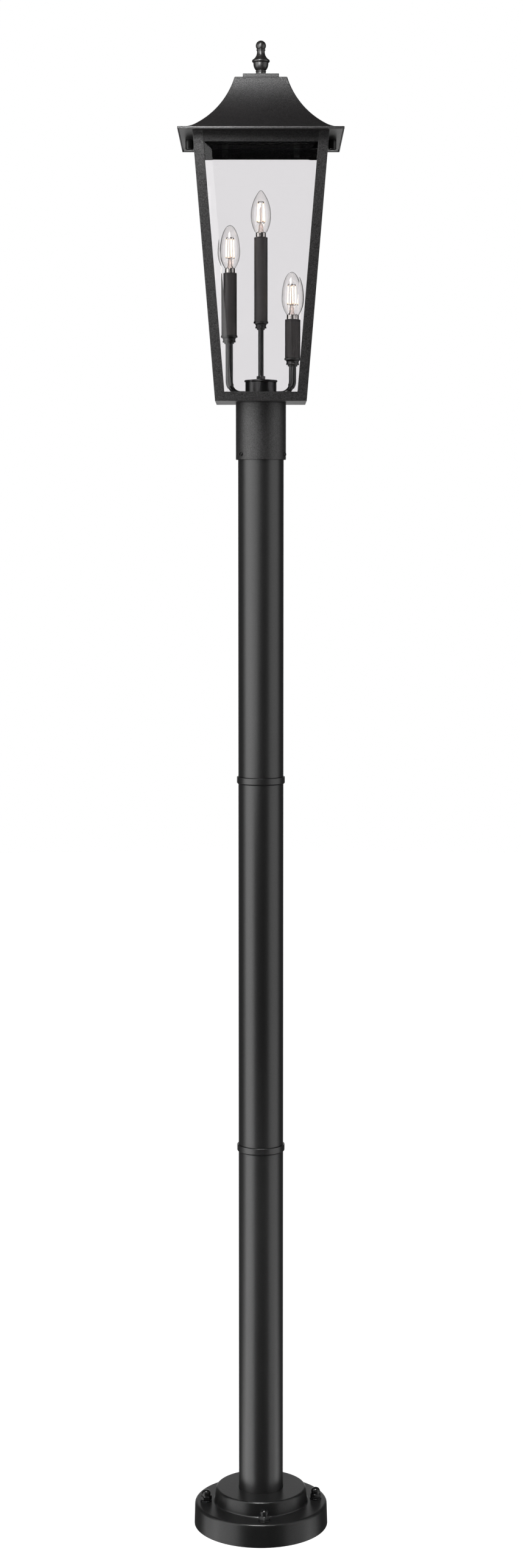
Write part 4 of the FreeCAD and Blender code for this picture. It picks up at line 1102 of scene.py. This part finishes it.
class LAMP_POST_OT_bulbs(bpy.types.Operator):
    """Bulbs: glass envelope, nickel cap with its thread, glass stem and glowing filaments"""

    bl_idname = "lamp_post.bulbs"
    bl_label = "Bulbs"

    def execute(self, context):
        size = context.scene.lamp_post_candles
        look = context.scene.lamp_post_finish
        # Turns of each bulb's filaments at their heads and at their feet, in radians.
        turns = {"centre": (0.78, 0.49), "left": (0.3, 0.35), "right": (0.16, 0.3)}
        wall, collar = 0.6 * MM, 7.9 * MM
        for name in CANDLES:
            glass, cap = f"bulb_glass_{name}", f"bulb_base_{name}"
            x, z0 = middle(glass), low(glass)
            belly, tall = span(glass) / 2, span(glass, 2)
            neck, widest, tip, tip_rise = 9.6 * MM, 25.5 * MM, 0.0, 0.0
            if name == "centre":
                neck, widest, tip, tip_rise = 10.5 * MM, 27.5 * MM, 3.4 * MM, 1.9 * MM
                tall -= 1.6 * MM
            skin = bulb_profile(collar, neck, belly, widest, tall, tip, tip_rise)
            lining = bulb_profile(collar - wall, neck - wall, belly - wall, widest, tall - wall,
                                  0.8 * tip, 0.75 * tip_rise)
            outline = np.concatenate([lining[::-1], skin])
            outline[[0, -1], 0] = 0.0
            piece(f"envelope_{name}", turned(outline, segments=80, at=(x, 0, z0)),
                  finish("bulb_glass"), [glass], sharp=80)

            piece(f"cap_{name}", self.cap_shape(cap, x, z0), finish("nickel"), [cap], sharp=50)

            foot = z0 + 17.5 * MM
            top = foot + size.filament_length
            heads, feet = ([(x + reach * math.cos(a), reach * math.sin(a), level)
                            for a in (turn + k * math.pi / 2 for k in range(4))]
                           for reach, turn, level in ((size.filament_circle, turns[name][0], top),
                                                      (1.15 * size.filament_circle, turns[name][1], foot)))
            thick = size.filament_diameter / 2
            rods = [rod(start, end, thick, tip=0.3 * MM) for start, end in zip(feet, heads)]
            light = lit_filament(f"filament_{name}", look.glow, look.glow_strength, foot, top)
            piece(f"filaments_{name}", joined(rods), light, [glass], replaces=False)

            stem = rounded([
                (0, 0), (6.2 * MM, 0, 0.5 * MM), (4.3 * MM, 3 * MM, 2 * MM), (3.6 * MM, 11 * MM, 2 * MM),
                (1.4 * MM, 14.5 * MM, 2 * MM), (1.1 * MM, 44.0 * MM, 0.6 * MM), (0, 44.2 * MM),
            ], closed=False)
            piece(f"glass_stem_{name}", turned(stem, segments=32, at=(x, 0, z0 + 0.3 * MM)),
                  finish("stem_glass"), [glass], replaces=False)
            piece(f"wires_{name}", self.wire_shape(x, z0, feet, heads), finish("dark_wire"), [glass],
                  replaces=False)
        return {"FINISHED"}

    def cap_shape(self, node, x, z0):
        """Plain collar above a screwed shell.

        The shell's radius is a mean plus depth times cos(2 pi height / pitch - angle).
        """
        collar = span(node) / 2 + 0.6 * MM
        bottom = low(node)
        seat = z0 - 8 * MM
        top = rounded([(5.2 * MM, seat, 0.1 * MM), (collar, seat + 0.35 * MM, 0.3 * MM),
                       (collar, z0 - 1.0 * MM, 0.5 * MM), (collar - 0.5 * MM, z0, 0.4 * MM), (0, z0)],
                      closed=False)
        rows, columns = 60, 96
        level = np.linspace(bottom + 3 * MM, seat - 0.3 * MM, rows)
        lower = rounded([(0, bottom), (2.6 * MM, bottom, 0.5 * MM), (3.0 * MM, bottom + 1.2 * MM, 0.2 * MM),
                         (5.3 * MM, bottom + 2.9 * MM)], closed=False)
        outline = np.concatenate([lower, np.column_stack([np.full(rows, 5.5 * MM), level]), top])
        circle = ring(columns)
        turn = np.arange(columns) * (2 * math.pi / columns)
        pitch, depth = 2.8 * MM, 0.33 * MM
        inside = (outline[:, 1] > bottom + 3.2 * MM) & (outline[:, 1] < seat - 0.5 * MM)
        wave = depth * np.cos(2 * math.pi * outline[:, 1:] / pitch - turn[None]) * inside[:, None]
        radius = outline[:, :1] + wave
        level = np.broadcast_to(outline[:, 1:], radius.shape)
        grid = np.stack([radius * circle[:, 0] + x, radius * circle[:, 1], level], -1)
        return wrapped(grid)

    def wire_shape(self, x, z0, feet, heads):
        """Wires: a cross over the filaments' heads, a crosspiece under each pair of feet, and two leads."""
        thin = 0.32 * MM
        over, under = np.array([0, 0, 2.6 * MM]), np.array([0, 0, -1.6 * MM])
        shapes = [rod(end, end + away, 2.2 * thin, 8) for ends, away in ((heads, over), (feet, under))
                  for end in np.array(ends)]
        heads, feet = np.array(heads) + over, np.array(feet) + under
        shapes += [rod(heads[k], heads[k + 2], thin, 8) for k in range(2)]
        shapes += [rod(feet[k], feet[k + 1], thin, 8) for k in (0, 2)]
        for k, side in ((0, 1), (2, -1)):
            bottom, knee = (x + side * 2.0 * MM, 0, z0 + 2 * MM), (x + side * 1.8 * MM, 0, z0 + 11 * MM)
            joint = (feet[k] + feet[k + 1]) / 2
            shapes += [rod(bottom, knee, thin, 8), rod(knee, joint, thin, 8)]
        return joined(shapes)


# A row: name of the power, degrees left of the camera, distance, height, height aimed at and size in metres,
# then the shape and the spread in radians where they aren't the usual ones.
LAMPS = {
    "left_softbox": ("left_light", 62.3, 2.7, 1.0, 1.0, (2.53, 5.2)),
    "right_softbox": ("right_light", -71.0, 2.7, 1.0, 1.0, (2.97, 5.2)),
    "side_strip": ("side_strip", 25.35, 0.55, 1.727, 1.727, (0.166, 1.044)),
    "eave_light": ("eave_light", 21.7, 0.335, 2.467, 2.35, (0.177, 0.151), "ELLIPSE"),
    "high_light": ("high_light", 14.8, 1.007, 3.027, 2.35, (0.57, 0.663), "ELLIPSE"),
    "strip_light": ("strip_light", 9.8, 2.7, 1.95, 1.95, (0.26, 0.9)),
    "rim_light": ("rim_light", 12.0, 0.42, 1.1, 0.04, (0.3, 0.3), "ELLIPSE", 0.9),
    "low_left": ("low_left", 97.0, 2.7, -1.15, -1.15, (1.6, 0.9)),
    "low_right": ("low_right", -97.0, 2.7, -1.15, -1.15, (1.6, 0.9)),
}


class LAMP_POST_OT_stage(bpy.types.Operator):
    """Floor, world, lights and the camera that takes the photograph's view"""

    bl_idname = "lamp_post.stage"
    bl_label = "Stage"

    def execute(self, context):
        studio = context.scene.lamp_post_studio
        self.floor()
        self.world(studio)
        for name, (power_name, *values) in LAMPS.items():
            self.light(name, getattr(studio, power_name), *values)
        camera = bpy.data.cameras.new("view")
        camera.sensor_fit = "VERTICAL"
        camera.sensor_height = 36.0
        camera.lens = studio.camera_lens
        target = bpy.data.objects.new("view", camera)
        target.location = (0.001, -studio.camera_distance, studio.camera_height)
        target.rotation_euler = (math.pi / 2 - studio.camera_pitch, 0, 0)
        context.scene.collection.objects.link(target)
        context.scene.camera = target
        context.scene.view_settings.view_transform = "Standard"
        return {"FINISHED"}

    def floor(self):
        """Pale floor that is seen as white, with part of its lit self mixed in.

        It is hidden from the paint's mirroring and from shadow rays, so it stops none of the low lamps.
        """
        count, reach = 96, 9.0
        f = Finish("floor")
        nodes, links = f.tree.nodes, f.tree.links
        f.tint(f.noise(3.0), (0.86, 0.86, 0.86), 0.98, 1.0)
        f.set(Roughness=0.8, Specular_IOR_Level=0.2)
        output = next(n for n in nodes if n.type == "OUTPUT_MATERIAL")
        white = f.add("ShaderNodeEmission", Strength=1.25)
        mix = nodes.new("ShaderNodeMixShader")
        straight, mirrored = rays(f.tree)
        part_seen, part_mirrored = 0.8, 0.15
        shown = maths(f.tree, "MAXIMUM", straight, maths(f.tree, "MULTIPLY", mirrored, part_mirrored))
        links.new(maths(f.tree, "MULTIPLY", shown, part_seen), mix.inputs[0])
        links.new(f.shader.outputs[0], mix.inputs[1])
        links.new(white.outputs[0], mix.inputs[2])
        links.new(mix.outputs[0], output.inputs["Surface"])
        points = np.column_stack([ring(count) * reach, np.zeros(count)])
        target = mesh_object("floor", points, [list(range(count))], f.material)
        target.visible_glossy = False
        target.visible_shadow = False

    def world(self, studio):
        """White where it is seen straight or through glass; what mirrors it finds a cloth behind the object.

        The cloth brightens smoothly towards the rear, and all else gets the faint light from all round.
        """
        world = bpy.data.worlds.new("studio")
        world.use_nodes = True
        bpy.context.scene.world = world
        tree = world.node_tree
        back = next(n for n in tree.nodes if n.type == "BACKGROUND")
        back.inputs["Color"].default_value = (1, 1, 1, 1)
        straight, mirrored = rays(tree)
        place = tree.nodes.new("ShaderNodeTexCoord")
        split = tree.nodes.new("ShaderNodeSeparateXYZ")
        tree.links.new(place.outputs["Generated"], split.inputs["Vector"])
        cloth = ranged(tree, split.outputs["Y"], 0.9, 0.99, 0.01, 1.0)
        cloth.interpolation_type = "SMOOTHSTEP"
        rear = ranged(tree, split.outputs["Y"], 0.45, 0.75, 0.01, 0.06)
        tree.links.new(rear.outputs["Result"], cloth.inputs["To Min"])
        shown = maths(tree, "MULTIPLY", mirrored, cloth.outputs["Result"])
        room = maths(tree, "MULTIPLY", maths(tree, "SUBTRACT", 1.0, mirrored), studio.room_light)
        strength = maths(tree, "MAXIMUM", straight, maths(tree, "MAXIMUM", shown, room))
        tree.links.new(strength, back.inputs["Strength"])

    def light(self, name, watts, azimuth, distance, height, aim, size, shape="RECTANGLE", spread=math.pi):
        """Softbox that faces the post at the height of its aim, from an angle left of the camera."""
        lamp = bpy.data.lights.new(name, "AREA")
        lamp.shape = shape
        lamp.spread = spread
        lamp.size, lamp.size_y = size
        lamp.energy = watts
        target = bpy.data.objects.new(name, lamp)
        a = math.radians(azimuth)
        target.location = (-math.sin(a) * distance, -math.cos(a) * distance, height)
        tilt = math.atan2(height - aim, distance)
        target.rotation_euler = (math.pi / 2 - tilt, 0, -a)
        bpy.context.scene.collection.objects.link(target)


class LAMP_POST_PT_panel(bpy.types.Panel):
    """Sidebar panel with the builders and the sizes and colours they read"""

    bl_idname = "LAMP_POST_PT_panel"
    bl_label = "Lamp Post"
    bl_space_type = "VIEW_3D"
    bl_region_type = "UI"
    bl_category = "Lamp Post"

    def draw(self, context):
        for operator in OPERATORS:
            self.layout.operator(operator.bl_idname)
        for group in GROUPS:
            box = self.layout.box()
            settings = getattr(context.scene, group)
            for name in settings.__annotations__:
                box.prop(settings, name)


OPERATORS = (
    LAMP_POST_OT_post,
    LAMP_POST_OT_base,
    LAMP_POST_OT_anchor_nuts,
    LAMP_POST_OT_fitter,
    LAMP_POST_OT_cage,
    LAMP_POST_OT_glass,
    LAMP_POST_OT_roof,
    LAMP_POST_OT_thumb_nuts,
    LAMP_POST_OT_finial,
    LAMP_POST_OT_hub,
    LAMP_POST_OT_arms,
    LAMP_POST_OT_candles,
    LAMP_POST_OT_bulbs,
    LAMP_POST_OT_stage,
)
GROUPS = {
    "lamp_post_post": LampPostPostSizes,
    "lamp_post_lantern": LampPostLanternSizes,
    "lamp_post_candles": LampPostCandleSizes,
    "lamp_post_finish": LampPostFinish,
    "lamp_post_studio": LampPostStudio,
}


def register():
    for name, group in GROUPS.items():
        bpy.utils.register_class(group)
        setattr(bpy.types.Scene, name, PointerProperty(type=group))
    for operator in OPERATORS:
        bpy.utils.register_class(operator)
    bpy.utils.register_class(LAMP_POST_PT_panel)


def unregister():
    bpy.utils.unregister_class(LAMP_POST_PT_panel)
    for operator in reversed(OPERATORS):
        bpy.utils.unregister_class(operator)
    for name, group in GROUPS.items():
        delattr(bpy.types.Scene, name)
        bpy.utils.unregister_class(group)


def main():
    register()
    for operator in OPERATORS:
        getattr(bpy.ops.lamp_post, operator.bl_idname.split(".")[1])()
    bpy.context.view_layer.update()


if __name__ == "__main__":
    main()
